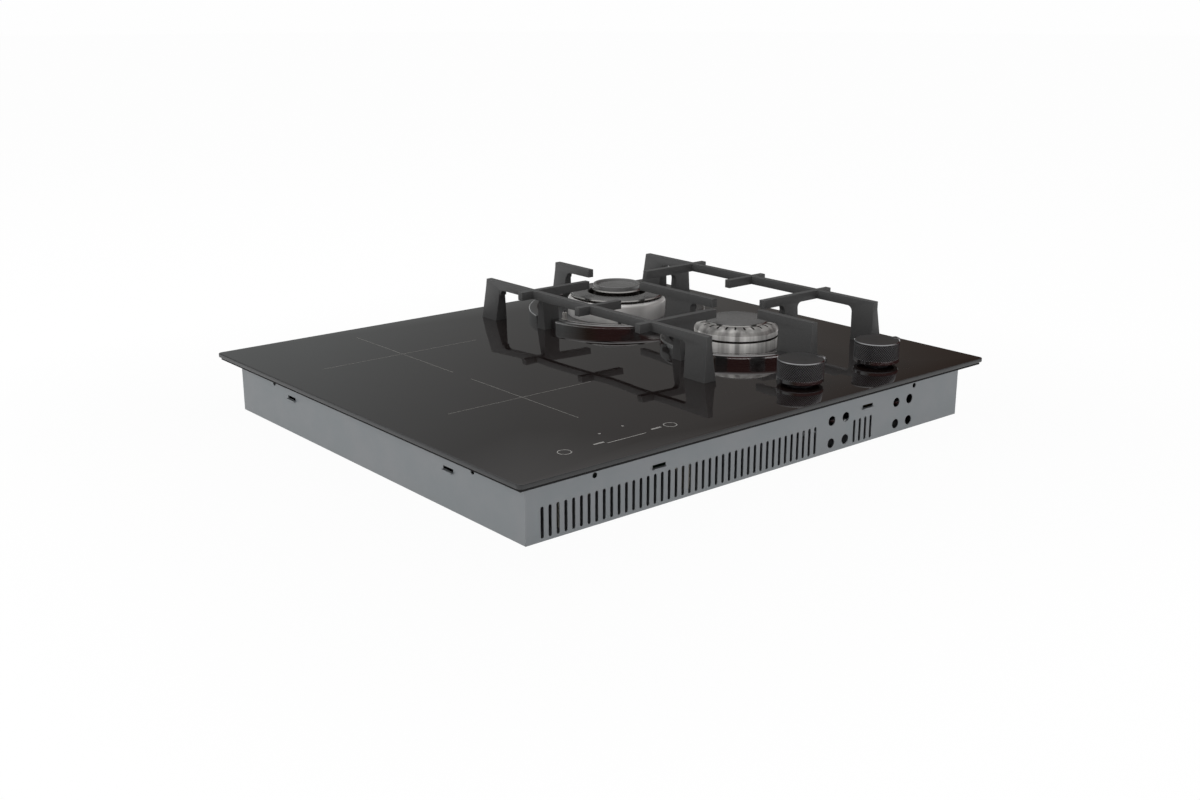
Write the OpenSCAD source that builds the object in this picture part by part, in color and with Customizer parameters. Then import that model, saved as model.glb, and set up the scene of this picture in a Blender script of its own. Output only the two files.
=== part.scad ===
/* [Glass] */
// How far the glass stands out past the casing at the left and right
glass_overhang_x = 18; // [15:0.5:22]
// How far the glass stands out past the casing at the front and back
glass_overhang_y = 17.5; // [15:0.5:22]
// Thickness of the glass plate
glass_t = 4; // [4:0.5:6]
// Corner radius of the glass plate
glass_corner_r = 5; // [2:1:12]
// Thickness of the glue line between casing and glass
bond_t = 1.2; // [0.8:0.2:2]

/* [Casing] */
// Outer width of the casing
casing_w = 554; // [545:1:556]
// Outer depth of the casing
casing_d = 485; // [478:1:490]
// Height of the casing below the glue line
casing_h = 55; // [52:1:70]
// Thickness of the casing's sheet steel
sheet_t = 1; // [0.8:0.2:1.2]
// Width of the casing's top flange
flange_w = 12; // [8:1:14]

/* [Vent slots] */
// Number of slots in the long row
slot_count = 41; // [20:1:41]
// Distance from slot to slot, as a share of the casing's width
slot_pitch_share = 0.0145; // [0.0125:0.0001:0.0146]
// Width of a slot
slot_w = 3.2; // [2:0.2:4]
// Length of a slot
slot_len = 27; // [15:1:30]

/* [Burners] */
// Distance of the gas burners' axis from the middle of the hob
burner_x = 135; // [130:1:138]
// Distance from the wok burner's dish to the back of the casing
wok_dish_gap = 13.5; // [12:0.5:16]
// Gap between the two dishes
dish_gap = 11; // [8:1:14]
// How far the wok burner's dish reaches past its hole in the glass
wok_dish_reach = 23; // [20:1:24]
// How far the rapid burner's dish reaches past its hole in the glass
rapid_dish_reach = 22; // [20:1:23]
// Height of the dish rims above the glass
dish_h = 10.5; // [8:0.5:12]
// Outer radius of the wok burner's crown
wok_crown_r = 56; // [52:1:58]
// Outer radius of the rapid burner's crown
rapid_crown_r = 44; // [40:1:45]

/* [Pan supports] */
// Height of the pan supports above the glass
support_h = 45; // [42:1:50]
// Thickness of the bars
bar_t = 7; // [6:0.5:8]
// Depth of the bars
bar_h = 9; // [7:0.5:10]
// Thickness of the legs at their feet
foot_t = 13; // [10:0.5:14]
// Distance of the rails' outer faces from the burners' axis
rail_x = 123; // [120:1:124]

/* [Knobs] */
// Distance of each knob from the burners' axis
knob_x = 56; // [54:1:60]
// Distance of the knobs' axes from the front of the casing
knob_from_front = 37.5; // [34:0.5:40]
// Radius of a knob
knob_r = 22.5; // [18:0.5:24]
// Height of a knob
knob_h = 21.6; // [16:0.2:24]
// Gap between the glass and the underside of a knob
knob_gap = 3.4; // [3.4:0.2:6]
// Travel of a knob when it is pressed
push_travel = 2; // [1:0.5:2]

/* [Induction zones] */
// Radius of the rear coil, as a share of the casing's depth
rear_coil_share = 0.19; // [0.17:0.005:0.195]
// Radius of the front coil, as a share of the casing's depth
front_coil_share = 0.17; // [0.15:0.005:0.175]

/* [Hidden] */

$fn = 64;
// Overrun of every cut past the face that it goes through
cut = 1;
// Running clearance of the turning and sliding fits
run_gap = 0.05;
// Clearance between loose pieces
loose_gap = 0.4;

// Levels of the glass
glass_bottom = casing_h + bond_t;
glass_top_z = glass_bottom + glass_t;
casing_in_w = casing_w - 2 * sheet_t;
casing_in_d = casing_d - 2 * sheet_t;
glass_w = casing_w + 2 * glass_overhang_x;
glass_d = casing_d + 2 * glass_overhang_y;
front_face_y = -casing_d / 2;
front_in_y = front_face_y + sheet_t;
left_in_x = -casing_in_w / 2;
divider_x = -14;
rear_in_y = casing_in_d / 2;
// Burner holes in the glass, and the dishes round them
wok_hole_r = 78;
rapid_hole_r = 58;
wok_dish_r = wok_hole_r + wok_dish_reach;
rapid_dish_r = rapid_hole_r + rapid_dish_reach;
// Places of the burners and the knobs along the depth
wok_y = casing_d / 2 - wok_dish_gap - wok_dish_r;
rapid_y = wok_y - wok_dish_r - dish_gap - rapid_dish_r;
knob_y = front_face_y + knob_from_front;

// Shapes that several pieces share

// Flat plate with round corners, centred on the axis
module round_plate(w, d, r) {
    square([w - 2 * r, d], center = true);
    square([w, d - 2 * r], center = true);
    for (sx = [-1, 1], sy = [-1, 1]) translate([sx * (w / 2 - r), sy * (d / 2 - r)]) circle(r);
}

// Flat slot with round ends, upright and centred
module slot_outline(length, w) {
    square([w, length - w], center = true);
    for (s = [-1, 1]) translate([0, s * (length - w) / 2]) circle(w / 2, $fn = 24);
}

// Round bar from one point to another
module rod(a, b, r, sides = 24) {
    v = b - a;
    length = norm(v);
    translate(a) rotate([0, acos(v[2] / length), atan2(v[1], v[0])])
        cylinder(h = length, r = r, $fn = sides);
}

// Wire along a row of points; each length runs past its corner by the radius
module wire(points, r) {
    for (i = [1 : len(points) - 1]) {
        step = points[i] - points[i - 1];
        past = i < len(points) - 1 ? r : 0;
        rod(points[i - 1], points[i] + past * step / norm(step), r, 16);
    }
}

// Ring from a rectangular section
module ring(outer, inner, h) {
    difference() {
        cylinder(h = h, r = outer);
        translate([0, 0, -cut]) cylinder(h = h + 2 * cut, r = inner);
    }
}

// Rectangular frame from a flat strip
module strip_frame(w, d, strip, h) {
    linear_extrude(h) difference() {
        square([w, d], center = true);
        square([w - 2 * strip, d - 2 * strip], center = true);
    }
}

// Casing

// Long row of slots, from the left end
slot_start = 16.7;
slot_x0 = slot_start - casing_w / 2;
slot_pitch = casing_w * slot_pitch_share;
slot_gap_below = 2.7;
slot_z = slot_gap_below + slot_len / 2;
// Short row of slots between the two groups of holes
short_slot_x_share = 0.2112;
short_slot_x0 = casing_w * short_slot_x_share;
short_slot_count = 4;
short_slot_len = 23;
// Round holes at the front, in two groups of four
group_hole_r = 4.75;
group_x_shares = [0.1697, 0.342];
group_pitch_x = 20;
group_pitch_z = 22;
group_z = 20;
// Small holes for the fixing clamps
clamp_hole_r = 2.5;
clamp_hole_z = 43.5;
clamp_front_share = 0.37184;
clamp_front_x = casing_w * clamp_front_share;
clamp_side_share = 0.35361;
clamp_side_y = casing_d * clamp_side_share;
// Lanced clips beside the clamp holes
lance_w = 15;
lance_h = 3;
lance_z = 34.7;
lance_out = 2.2;
lance_front_share = 0.2446;
lance_front_x = casing_w * lance_front_share;
lance_side_share = 0.2804;
lance_side_y = casing_d * lance_side_share;

// Cooling fan and the grille below it
fan_size = 84;
fan_h = 24;
fan_from_left = 54;
fan_from_front = 101.5;
fan_x = left_in_x + fan_from_left;
fan_y = front_in_y + fan_from_front;
grille_bar_count = 9;
grille_pitch = 8;
grille_slot_w = 4.5;

// Gas inlet and mains inlet in the rear wall
inlet_from_right = 26;
inlet_x = casing_in_w / 2 - inlet_from_right;
inlet_z = 24;
inlet_r = 10.48;
inlet_hole_r = 11;
gland_from_left = 36;
gland_x = left_in_x + gland_from_left;
gland_z = 22;
gland_hole_r = 8.5;

module front_cuts() {
    for (i = [0 : slot_count - 1]) translate([slot_x0 + i * slot_pitch, slot_z])
        slot_outline(slot_len, slot_w);
    for (i = [0 : short_slot_count - 1])
        translate([short_slot_x0 + i * slot_pitch, slot_gap_below + short_slot_len / 2])
            slot_outline(short_slot_len, slot_w);
    for (share = group_x_shares, sx = [-1, 1], sz = [-1, 1])
        translate([casing_w * share + sx * group_pitch_x / 2, group_z + sz * group_pitch_z / 2])
            circle(group_hole_r);
}

module lance_cuts(half) {
    for (s = [-1, 1]) translate([s * half, lance_z + lance_h / 2]) square([lance_w, lance_h], center = true);
}

module clamp_holes(half) {
    for (s = [-1, 1]) translate([s * half, clamp_hole_z]) circle(clamp_hole_r);
}

// Cuts of one wall, pushed through the wall at distance y from the middle
module wall_cut(y) {
    translate([0, y + sheet_t + cut, 0]) rotate([90, 0, 0]) linear_extrude(sheet_t + 2 * cut) children();
}

// Clip lips that stand out of the wall at distance y in front
module lance_lips(y, half) {
    for (s = [-1, 1]) translate([s * half - lance_w / 2, y - lance_out, lance_z - sheet_t])
        cube([lance_w, lance_out, sheet_t]);
}

module casing() {
    color("silver") {
        difference() {
            translate([-casing_w / 2, -casing_d / 2, 0]) cube([casing_w, casing_d, casing_h]);
            translate([-casing_in_w / 2, -casing_in_d / 2, sheet_t])
                cube([casing_in_w, casing_in_d, casing_h - 2 * sheet_t]);
            translate([flange_w - casing_w / 2, flange_w - casing_d / 2, sheet_t])
                cube([casing_w - 2 * flange_w, casing_d - 2 * flange_w, casing_h]);
            wall_cut(front_face_y) {
                front_cuts();
                lance_cuts(lance_front_x);
                clamp_holes(clamp_front_x);
            }
            for (turn = [90, 270]) rotate([0, 0, turn]) wall_cut(-casing_w / 2) {
                lance_cuts(lance_side_y);
                clamp_holes(clamp_side_y);
            }
            rotate([0, 0, 180]) wall_cut(front_face_y) {
                lance_cuts(lance_front_x);
                clamp_holes(clamp_front_x);
                translate([-inlet_x, inlet_z]) circle(inlet_hole_r);
                translate([-gland_x, gland_z]) circle(gland_hole_r);
            }
            translate([fan_x, fan_y, -cut]) linear_extrude(sheet_t + 2 * cut) intersection() {
                circle(fan_size / 2 - grille_pitch / 2);
                for (i = [0 : grille_bar_count - 1])
                    translate([(i - (grille_bar_count - 1) / 2) * grille_pitch, 0])
                        square([grille_slot_w, fan_size], center = true);
            }
        }
        lance_lips(front_face_y, lance_front_x);
        rotate([0, 0, 180]) lance_lips(front_face_y, lance_front_x);
        for (turn = [90, 270]) rotate([0, 0, turn]) lance_lips(-casing_w / 2, lance_side_y);
    }
}

// Glass, glue line and worktop seal

// Holes in the glass
spindle_hole_r = 8;
// Foam strip, set back from the edge of the glass
seal_inset = 3;
seal_w = 8;
seal_t = 3;

module at_burner(y) {
    translate([burner_x, y, 0]) children();
}

module at_knob(side) {
    translate([burner_x + side * knob_x, knob_y, 0]) children();
}

module glass_top() {
    color("#303030") translate([0, 0, glass_bottom]) difference() {
        linear_extrude(glass_t) round_plate(glass_w, glass_d, glass_corner_r);
        at_burner(wok_y) translate([0, 0, -cut]) cylinder(h = glass_t + 2 * cut, r = wok_hole_r);
        at_burner(rapid_y) translate([0, 0, -cut]) cylinder(h = glass_t + 2 * cut, r = rapid_hole_r);
        for (side = [-1, 1]) at_knob(side) translate([0, 0, -cut])
            cylinder(h = glass_t + 2 * cut, r = spindle_hole_r);
    }
}

module glass_bond() {
    color("dimgray") translate([0, 0, casing_h])
        strip_frame(casing_in_w, casing_in_d, flange_w - 2 * sheet_t, bond_t);
}

module worktop_seal() {
    color("black") translate([0, 0, glass_bottom - seal_t])
        strip_frame(glass_w - 2 * seal_inset, glass_d - 2 * seal_inset, seal_w, seal_t);
}

// Divider between the two sides

divider_foot = 12;
divider_gap_top = 1;

module divider() {
    color("silver") translate([divider_x, front_in_y + loose_gap, sheet_t]) {
        cube([sheet_t, casing_in_d - 2 * loose_gap, casing_h - 2 * sheet_t - divider_gap_top]);
        translate([-divider_foot, 0, 0]) cube([divider_foot, casing_in_d - 2 * loose_gap, sheet_t]);
    }
}

// Induction side

// Tray that carries the coils
tray_side_gap = 9;
tray_rear_gap = 7.5;
tray_from_front = 69.5;
tray_from_divider = 21;
tray_x0 = left_in_x + tray_side_gap;
tray_x1 = divider_x - tray_from_divider;
tray_y0 = front_in_y + tray_from_front;
tray_y1 = rear_in_y - tray_rear_gap;
tray_t = 1.5;
mica_t = 0.6;
coil_t = 6;
ferrite_t = 4;
glass_gap = 0.3;
coil_top_z = glass_bottom - glass_gap - mica_t;
coil_z = coil_top_z - coil_t;
ferrite_z = coil_z - ferrite_t;
tray_z = ferrite_z - tray_t;
// Coils
coil_hole_r = 20;
ferrite_w = 12;
ferrite_count = 8;
ferrite_edge = 6;
sensor_r = 8;
sensor_hole_r = 9;
// Posts below the tray
post_r = 5;
post_inset = 12;
post_from_front = 106;
post_from_rear = 54;
post_front_y = tray_y0 + post_from_front;
post_rear_y = tray_y1 - post_from_rear;
// Small screws: four hold the tray, two hold each tap's bonnet
screw_r = 1.5;
screw_len = 8;
screw_head_r = 3;
screw_head_h = 1.8;

rear_coil_gap = 9;
front_coil_gap = 18;
rear_coil_r = casing_d * rear_coil_share;
front_coil_r = casing_d * front_coil_share;
zone_x = (tray_x0 + tray_x1) / 2;
rear_zone_y = tray_y1 - rear_coil_gap - rear_coil_r;
front_zone_y = tray_y0 + front_coil_gap + front_coil_r;
zones = [[rear_zone_y, rear_coil_r], [front_zone_y, front_coil_r]];

module at_zone(y) {
    translate([zone_x, y, 0]) children();
}

module coil_tray() {
    color("lightgray") difference() {
        translate([tray_x0, tray_y0, tray_z]) cube([tray_x1 - tray_x0, tray_y1 - tray_y0, tray_t]);
        for (zone = zones) at_zone(zone[0]) translate([0, 0, tray_z - cut])
            cylinder(h = tray_t + 2 * cut, r = sensor_hole_r);
        at_posts() screw_shank(tray_z + tray_t);
    }
}

// Copies at the four posts
module at_posts() {
    for (x = [tray_x0 + post_inset, tray_x1 - post_inset], y = [post_front_y, post_rear_y])
        translate([x, y, 0]) children();
}

// Shank of a screw that hangs from height z
module screw_shank(z) {
    translate([0, 0, z - screw_len]) cylinder(h = screw_len, r = screw_r);
}

module tray_posts() {
    color("gray") at_posts() difference() {
        translate([0, 0, sheet_t]) cylinder(h = tray_z - sheet_t, r = post_r);
        screw_shank(tray_z + tray_t);
    }
}

module coil(y, r) {
    color("peru") at_zone(y) translate([0, 0, coil_z]) ring(r, coil_hole_r, coil_t);
}

module rear_coil() {
    coil(rear_zone_y, rear_coil_r);
}

module front_coil() {
    coil(front_zone_y, front_coil_r);
}

module ferrite_bars() {
    color("#404048") for (zone = zones, i = [0 : ferrite_count - 1])
        at_zone(zone[0]) rotate([0, 0, i * 360 / ferrite_count])
            translate([coil_hole_r + ferrite_edge, -ferrite_w / 2, ferrite_z])
                cube([zone[1] - coil_hole_r - 2 * ferrite_edge, ferrite_w, ferrite_t]);
}

module mica_discs() {
    color("wheat") for (zone = zones) at_zone(zone[0]) translate([0, 0, coil_top_z])
        ring(zone[1], coil_hole_r, mica_t);
}

// Temperature sensor in the middle of each coil, on a foot that stands on the tray
sensor_flange_r = 14;
sensor_flange_t = 2;

module coil_sensors() {
    color("white") for (zone = zones) at_zone(zone[0]) {
        translate([0, 0, tray_z + tray_t]) cylinder(h = sensor_flange_t, r = sensor_flange_r);
        translate([0, 0, tray_z + tray_t])
            cylinder(h = glass_bottom - tray_z - tray_t - glass_gap, r = sensor_r);
    }
}

// Power board
board_from_fan = 8;
board_from_divider = 40;
board_from_front = 51.5;
board_from_rear = 61.5;
board_x0 = fan_x + fan_size / 2 + board_from_fan;
board_w = divider_x - board_from_divider - board_x0;
board_y0 = front_in_y + board_from_front;
board_d = rear_in_y - board_from_rear - board_y0;
board_t = 1.6;
standoff_h = 6;
standoff_r = 3.5;
standoff_inset = 8;
board_top_z = sheet_t + standoff_h + board_t;

module power_board() {
    color("darkgreen") translate([board_x0, board_y0, sheet_t + standoff_h])
        cube([board_w, board_d, board_t]);
}

module board_standoffs() {
    color("ivory") for (x = [board_x0 + standoff_inset, board_x0 + board_w - standoff_inset],
        y = [board_y0 + standoff_inset, board_y0 + board_d / 2, board_y0 + board_d - standoff_inset])
        translate([x, y, sheet_t]) cylinder(h = standoff_h, r = standoff_r);
}

// Finned heat sink along the board
sink_from_left = 4;
sink_from_front = 30;
parts_strip_w = 60;
sink_x0 = board_x0 + sink_from_left;
sink_y0 = board_y0 + sink_from_front;
sink_w = board_w - parts_strip_w;
sink_d = 190;
sink_h = 24;
sink_base_t = 4;
fin_count = 9;
fin_t = 1.6;

module heat_sink() {
    color("silver") translate([sink_x0, sink_y0, board_top_z]) {
        cube([sink_w, sink_d, sink_base_t]);
        for (i = [0 : fin_count - 1]) translate([i * (sink_w - fin_t) / (fin_count - 1), 0, 0])
            cube([fin_t, sink_d, sink_h]);
    }
}

// Clear strip between the heat sink and the other parts
parts_from_sink = 6;
// Parts of the power board, placed from the strip's edge: boxes as place and size,
// drums as place, radius and height
part_boxes = [
    [[6, 10], [26, 42, 20]], [[6, 65], [26, 42, 20]], [[36, 10], [18, 30, 15]],
    [[36, 55], [18, 30, 15]], [[6, 220], [30, 18, 16]], [[40, 220], [14, 30, 18]],
    [[-30, 270], [30, 44, 22]]];
part_drums = [
    [[18, 142], [10, 26]], [[44, 142], [10, 26]], [[18, 172], [10, 26]], [[44, 172], [10, 26]],
    [[30, 290], [15, 14]], [[-20, 230], [9, 22]]];

module board_parts() {
    translate([board_x0 + sink_w + parts_from_sink, board_y0, board_top_z]) {
        color("#3a3a55") for (box = part_boxes) translate([box[0][0], box[0][1], 0]) cube(box[1]);
        color("#22283a") for (drum = part_drums)
            translate([drum[0][0], drum[0][1], 0]) cylinder(h = drum[1][1], r = drum[1][0]);
    }
}

// Cooling fan: a square frame with a round duct, struts and a pin that the rotor turns on
fan_corner_r = 6;
fan_wall_t = 2;
fan_duct_r = fan_size / 2 - fan_wall_t;
fan_tip_gap = 2;
fan_strut_w = 4;
fan_strut_t = 3;
fan_motor_r = 16;
fan_pin_r = 1.5;
fan_hub_r = 15;
fan_blade_count = 7;
fan_blade_t = 1.6;
fan_blade_pitch = 30;
fan_blade_edge = 3;
fan_hub_gap = 1;
fan_hub_z = sheet_t + fan_strut_t + fan_hub_gap;
fan_hub_h = 17;

module at_fan() {
    translate([fan_x, fan_y, 0]) children();
}

module fan_housing() {
    color("#202020") at_fan() {
        translate([0, 0, sheet_t]) difference() {
            linear_extrude(fan_h) round_plate(fan_size, fan_size, fan_corner_r);
            translate([0, 0, -cut]) cylinder(h = fan_h + 2 * cut, r = fan_duct_r);
        }
        translate([0, 0, sheet_t]) {
            cylinder(h = fan_strut_t, r = fan_motor_r);
            cylinder(h = fan_strut_t + fan_hub_h - fan_blade_edge, r = fan_pin_r);
            for (turn = [45 : 90 : 315]) rotate([0, 0, turn])
                translate([0, -fan_strut_w / 2, 0])
                    cube([fan_duct_r + fan_strut_t, fan_strut_w, fan_strut_t]);
        }
    }
}

module fan_rotor() {
    blade_h = fan_hub_h - 2 * fan_blade_edge;
    color("#404040") at_fan() translate([0, 0, fan_hub_z]) {
        difference() {
            cylinder(h = fan_hub_h, r = fan_hub_r);
            translate([0, 0, -cut]) cylinder(h = fan_hub_h + cut - fan_blade_edge, r = fan_pin_r + run_gap);
        }
        intersection() {
            ring(fan_duct_r - fan_tip_gap, fan_hub_r - fan_blade_t, fan_hub_h);
            for (i = [0 : fan_blade_count - 1]) rotate([0, 0, i * 360 / fan_blade_count])
                translate([fan_hub_r - fan_blade_t, 0, fan_hub_h / 2]) rotate([fan_blade_pitch, 0, 0])
                    translate([0, -fan_blade_t / 2, -blade_h / 2]) cube([fan_duct_r, fan_blade_t, blade_h]);
        }
    }
}

// Touch control below the front left of the glass
touch_from_left = 40;
touch_from_front = 9.5;
touch_x0 = left_in_x + touch_from_left;
touch_y0 = front_in_y + touch_from_front;
touch_w = 150;
touch_d = 44;
touch_board_t = 1.6;
touch_holder_t = 2;
touch_holder_h = 10;
touch_spring_r = 5;
touch_spring_h = 5;
touch_spring_shares = [0.113, 0.353, 0.467, 0.66, 0.78, 0.887];
touch_up = 14;
touch_board_z = glass_bottom - glass_gap - touch_spring_h - touch_board_t;
touch_holder_z = touch_board_z - touch_holder_h;

module touch_holder() {
    color("#e8e8e0") translate([touch_x0, touch_y0, touch_holder_z]) {
        difference() {
            cube([touch_w, touch_d, touch_holder_h]);
            translate([touch_holder_t, touch_holder_t, touch_holder_t])
                cube([touch_w - 2 * touch_holder_t, touch_d - 2 * touch_holder_t, touch_holder_h]);
        }
        for (x = [touch_holder_t, touch_w - touch_spring_r - touch_holder_t])
            translate([x, touch_holder_t, sheet_t - touch_holder_z])
                cube([touch_spring_r, touch_spring_r, touch_holder_z - sheet_t]);
    }
}

module touch_board() {
    color("darkgreen") translate([touch_x0, touch_y0, touch_board_z])
        cube([touch_w, touch_d, touch_board_t]);
}

module touch_springs() {
    color("goldenrod") for (share = touch_spring_shares)
        translate([touch_x0 + touch_w * share, touch_y0 + touch_up, touch_board_z + touch_board_t])
            cylinder(h = touch_spring_h, r = touch_spring_r);
}

// Mains terminals and cable gland at the rear left
terminal_from_left = 14;
terminal_x0 = left_in_x + terminal_from_left;
terminal_w = 44;
terminal_d = 26;
terminal_h = 20;
terminal_from_wall = 16;
terminal_way = 6;
terminal_ways = 5;
gland_r = 12;
gland_out = 8;
gland_in = 10;
gland_bore_r = 5;

module terminal_block() {
    color("ivory") translate([terminal_x0, rear_in_y - terminal_from_wall - terminal_d, sheet_t])
        difference() {
            cube([terminal_w, terminal_d, terminal_h]);
            for (i = [0 : terminal_ways - 1])
                translate([(i + 0.5) * terminal_w / terminal_ways - terminal_way / 2, -cut,
                    terminal_h - terminal_way])
                    cube([terminal_way, terminal_d + 2 * cut, terminal_way + cut]);
        }
}

module cable_gland() {
    color("#282828") translate([gland_x, 0, gland_z]) rotate([-90, 0, 0]) difference() {
        union() {
            translate([0, 0, casing_d / 2]) cylinder(h = gland_out, r = gland_r);
            translate([0, 0, casing_in_d / 2 - gland_in]) cylinder(h = gland_in, r = gland_r);
            translate([0, 0, casing_in_d / 2]) cylinder(h = sheet_t, r = gland_hole_r);
        }
        translate([0, 0, casing_in_d / 2 - gland_in - cut])
            cylinder(h = gland_in + sheet_t + gland_out + 2 * cut, r = gland_bore_r);
    }
}

// Gas ramp, taps and pipes

ramp_r = 7;
ramp_bore_r = 5;
ramp_from_front = 12.5;
ramp_y = front_in_y + ramp_from_front;
ramp_z = inlet_z;
ramp_bend_r = 18;
ramp_past_tap = 27;
ramp_left_x = burner_x - knob_x - ramp_past_tap;
ramp_end_t = 4;
inlet_nut_t = 8;
inlet_nut_r = 13.5;
inlet_out = 15;
inlet_neck_r = 9.5;
inlet_neck_out = 1.5;
inlet_bore_r = 6;
inlet_tail = 10;
ramp_rear_y = casing_in_d / 2 - inlet_nut_t - inlet_tail;

// Bent pipe in a level plane: along X at y0, then along Y at x1
module level_bend(x0, x1, y0, y1, bend_r, r) {
    translate([x0, y0, 0]) rotate([0, 90, 0]) cylinder(h = x1 - bend_r - x0, r = r);
    translate([x1 - bend_r, y0 + bend_r, 0]) rotate([0, 0, -90]) rotate_extrude(angle = 90)
        translate([bend_r, 0]) circle(r);
    translate([x1, y0 + bend_r, 0]) rotate([-90, 0, 0]) cylinder(h = y1 - y0 - bend_r, r = r);
}

module gas_ramp() {
    color("lightslategray") translate([0, 0, ramp_z]) difference() {
        level_bend(ramp_left_x, inlet_x, ramp_y, ramp_rear_y, ramp_bend_r, ramp_r);
        level_bend(ramp_left_x + ramp_end_t, inlet_x, ramp_y, ramp_rear_y + cut, ramp_bend_r, ramp_bore_r);
    }
}

module gas_inlet() {
    color("goldenrod") translate([inlet_x, 0, inlet_z]) rotate([-90, 0, 0]) difference() {
        union() {
            translate([0, 0, ramp_rear_y]) cylinder(h = inlet_tail, r = inlet_r);
            translate([0, 0, ramp_rear_y + inlet_tail]) cylinder(h = inlet_nut_t, r = inlet_nut_r, $fn = 6);
            translate([0, 0, rear_in_y]) cylinder(h = sheet_t + inlet_neck_out, r = inlet_neck_r);
            translate([0, 0, casing_d / 2 + inlet_neck_out])
                cylinder(h = inlet_out - inlet_neck_out, r = inlet_r);
        }
        translate([0, 0, ramp_rear_y - cut])
            cylinder(h = inlet_tail + inlet_nut_t + sheet_t + inlet_out + 2 * cut,
            r = inlet_bore_r);
    }
}

// Tap: a brass body with a bore for the plug, clamped to the ramp
tap_r = 11;
tap_z0 = 14;
tap_z1 = 45;
tap_floor_t = 4;
plug_r = 7;
plug_h = 17;
ear_w = 34;
ear_d = 12;
ear_h = 5;
ear_hole_x = 13.5;
tap_arm_w = 14;
tap_arm_h = 12;
outlet_r = 6.5;
outlet_len = 8;
pipe_r = 4;
pipe_bore_r = 3;
outlet_up = 1;
pipe_z = tap_z0 + outlet_r + outlet_up;
plug_z = tap_z0 + tap_floor_t;
plug_top_z = plug_z + plug_h;

module tap(side) {
    color("goldenrod") difference() {
        at_knob(side) {
            translate([0, 0, tap_z0]) cylinder(h = tap_z1 - tap_z0, r = tap_r);
            translate([-ear_w / 2, -ear_d / 2, tap_z1 - ear_h]) cube([ear_w, ear_d, ear_h]);
            translate([-tap_arm_w / 2, ramp_y - knob_y, ramp_z - tap_arm_h / 2])
                cube([tap_arm_w, knob_y - ramp_y, tap_arm_h]);
            translate([0, 0, pipe_z]) rotate([-90, 0, 0]) cylinder(h = tap_r + outlet_len, r = outlet_r);
        }
        at_knob(side) {
            translate([0, 0, plug_z]) cylinder(h = tap_z1, r = plug_r + run_gap);
            at_ear_holes() screw_shank(tap_z1 + bonnet_t);
            translate([0, plug_r, pipe_z]) rotate([-90, 0, 0])
                cylinder(h = tap_r + outlet_len, r = pipe_bore_r);
        }
        translate([0, ramp_y, ramp_z]) rotate([0, 90, 0]) cylinder(h = glass_w / 2, r = ramp_r);
    }
}

module at_ear_holes() {
    for (s = [-1, 1]) translate([s * ear_hole_x, 0, 0]) children();
}

module wok_tap() {
    tap(-1);
}

module rapid_tap() {
    tap(1);
}

// Cover on each tap, with a hole for the spindle
bonnet_t = 3;
bonnet_d = 24;
spindle_r = 3;

module tap_bonnets() {
    color("gray") for (side = [-1, 1]) at_knob(side) difference() {
        translate([0, 0, tap_z1]) linear_extrude(bonnet_t) square([ear_w, bonnet_d], center = true);
        translate([0, 0, tap_z1 - cut]) cylinder(h = bonnet_t + 2 * cut, r = spindle_r + loose_gap);
        at_ear_holes() screw_shank(tap_z1 + bonnet_t);
    }
}

module screw(z) {
    screw_shank(z);
    translate([0, 0, z]) cylinder(h = screw_head_h, r = screw_head_r);
}

module screws() {
    color("silver") {
        at_posts() screw(tray_z + tray_t);
        for (side = [-1, 1]) at_knob(side) at_ear_holes() screw(tap_z1 + bonnet_t);
    }
}

// Plug that turns with the knob, and the spindle that slides in it
spindle_up = 7;
spindle_low_z = plug_z + spindle_up;
socket_z = spindle_low_z - push_travel - loose_gap;
collar_r = 5.5;
collar_t = 1.5;
collar_z = tap_z1 - collar_t - loose_gap;
spring_gap = 0.3;

module plug(side) {
    color("khaki") at_knob(side) difference() {
        translate([0, 0, plug_z]) cylinder(h = plug_h, r = plug_r);
        translate([0, 0, socket_z]) cylinder(h = plug_h, r = spindle_r + run_gap);
    }
}

module wok_plug() {
    plug(-1);
}

module rapid_plug() {
    plug(1);
}

module plug_spring(side) {
    color("silver") at_knob(side) translate([0, 0, plug_top_z])
        ring(collar_r, spindle_r + spring_gap, collar_z - plug_top_z);
}

module wok_spring() {
    plug_spring(-1);
}

module rapid_spring() {
    plug_spring(1);
}

// Knob, with its hub on the spindle and a pointer on the rim
knob_z = glass_top_z + knob_gap;
knob_wall_t = 4;
knob_roof_t = 6;
knob_hub_r = 7;
knob_edge = 0.8;
spindle_top_z = knob_z + knob_h - knob_roof_t;
pointer_w = 8;
pointer_out = 1.6;
pointer_in = 5;
pointer_h = 5;
pointer_up = 0.8;
pointer_angle = -20;

module spindle(side) {
    color("silver") at_knob(side) {
        translate([0, 0, spindle_low_z]) cylinder(h = spindle_top_z - spindle_low_z, r = spindle_r);
        translate([0, 0, collar_z]) cylinder(h = collar_t, r = collar_r);
    }
}

module wok_spindle() {
    spindle(-1);
}

module rapid_spindle() {
    spindle(1);
}

module knob(side) {
    color("#555558") at_knob(side) difference() {
        union() {
            translate([0, 0, knob_z]) rotate_extrude() polygon([
                [0, 0], [knob_r - knob_edge, 0], [knob_r, knob_edge], [knob_r, knob_h - knob_edge],
                [knob_r - knob_edge, knob_h], [0, knob_h]]);
            rotate([0, 0, pointer_angle])
                translate([knob_r - pointer_in, -pointer_w / 2, knob_z + knob_h - pointer_h])
                cube([pointer_in + pointer_out, pointer_w, pointer_h + pointer_up]);
        }
        translate([0, 0, knob_z - cut]) ring(knob_r - knob_wall_t, knob_hub_r, knob_h - knob_roof_t + cut);
        translate([0, 0, knob_z - cut]) cylinder(h = spindle_top_z - knob_z + cut, r = spindle_r);
    }
}

module knob_left() {
    knob(-1);
}

module knob_right() {
    knob(1);
}

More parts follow.
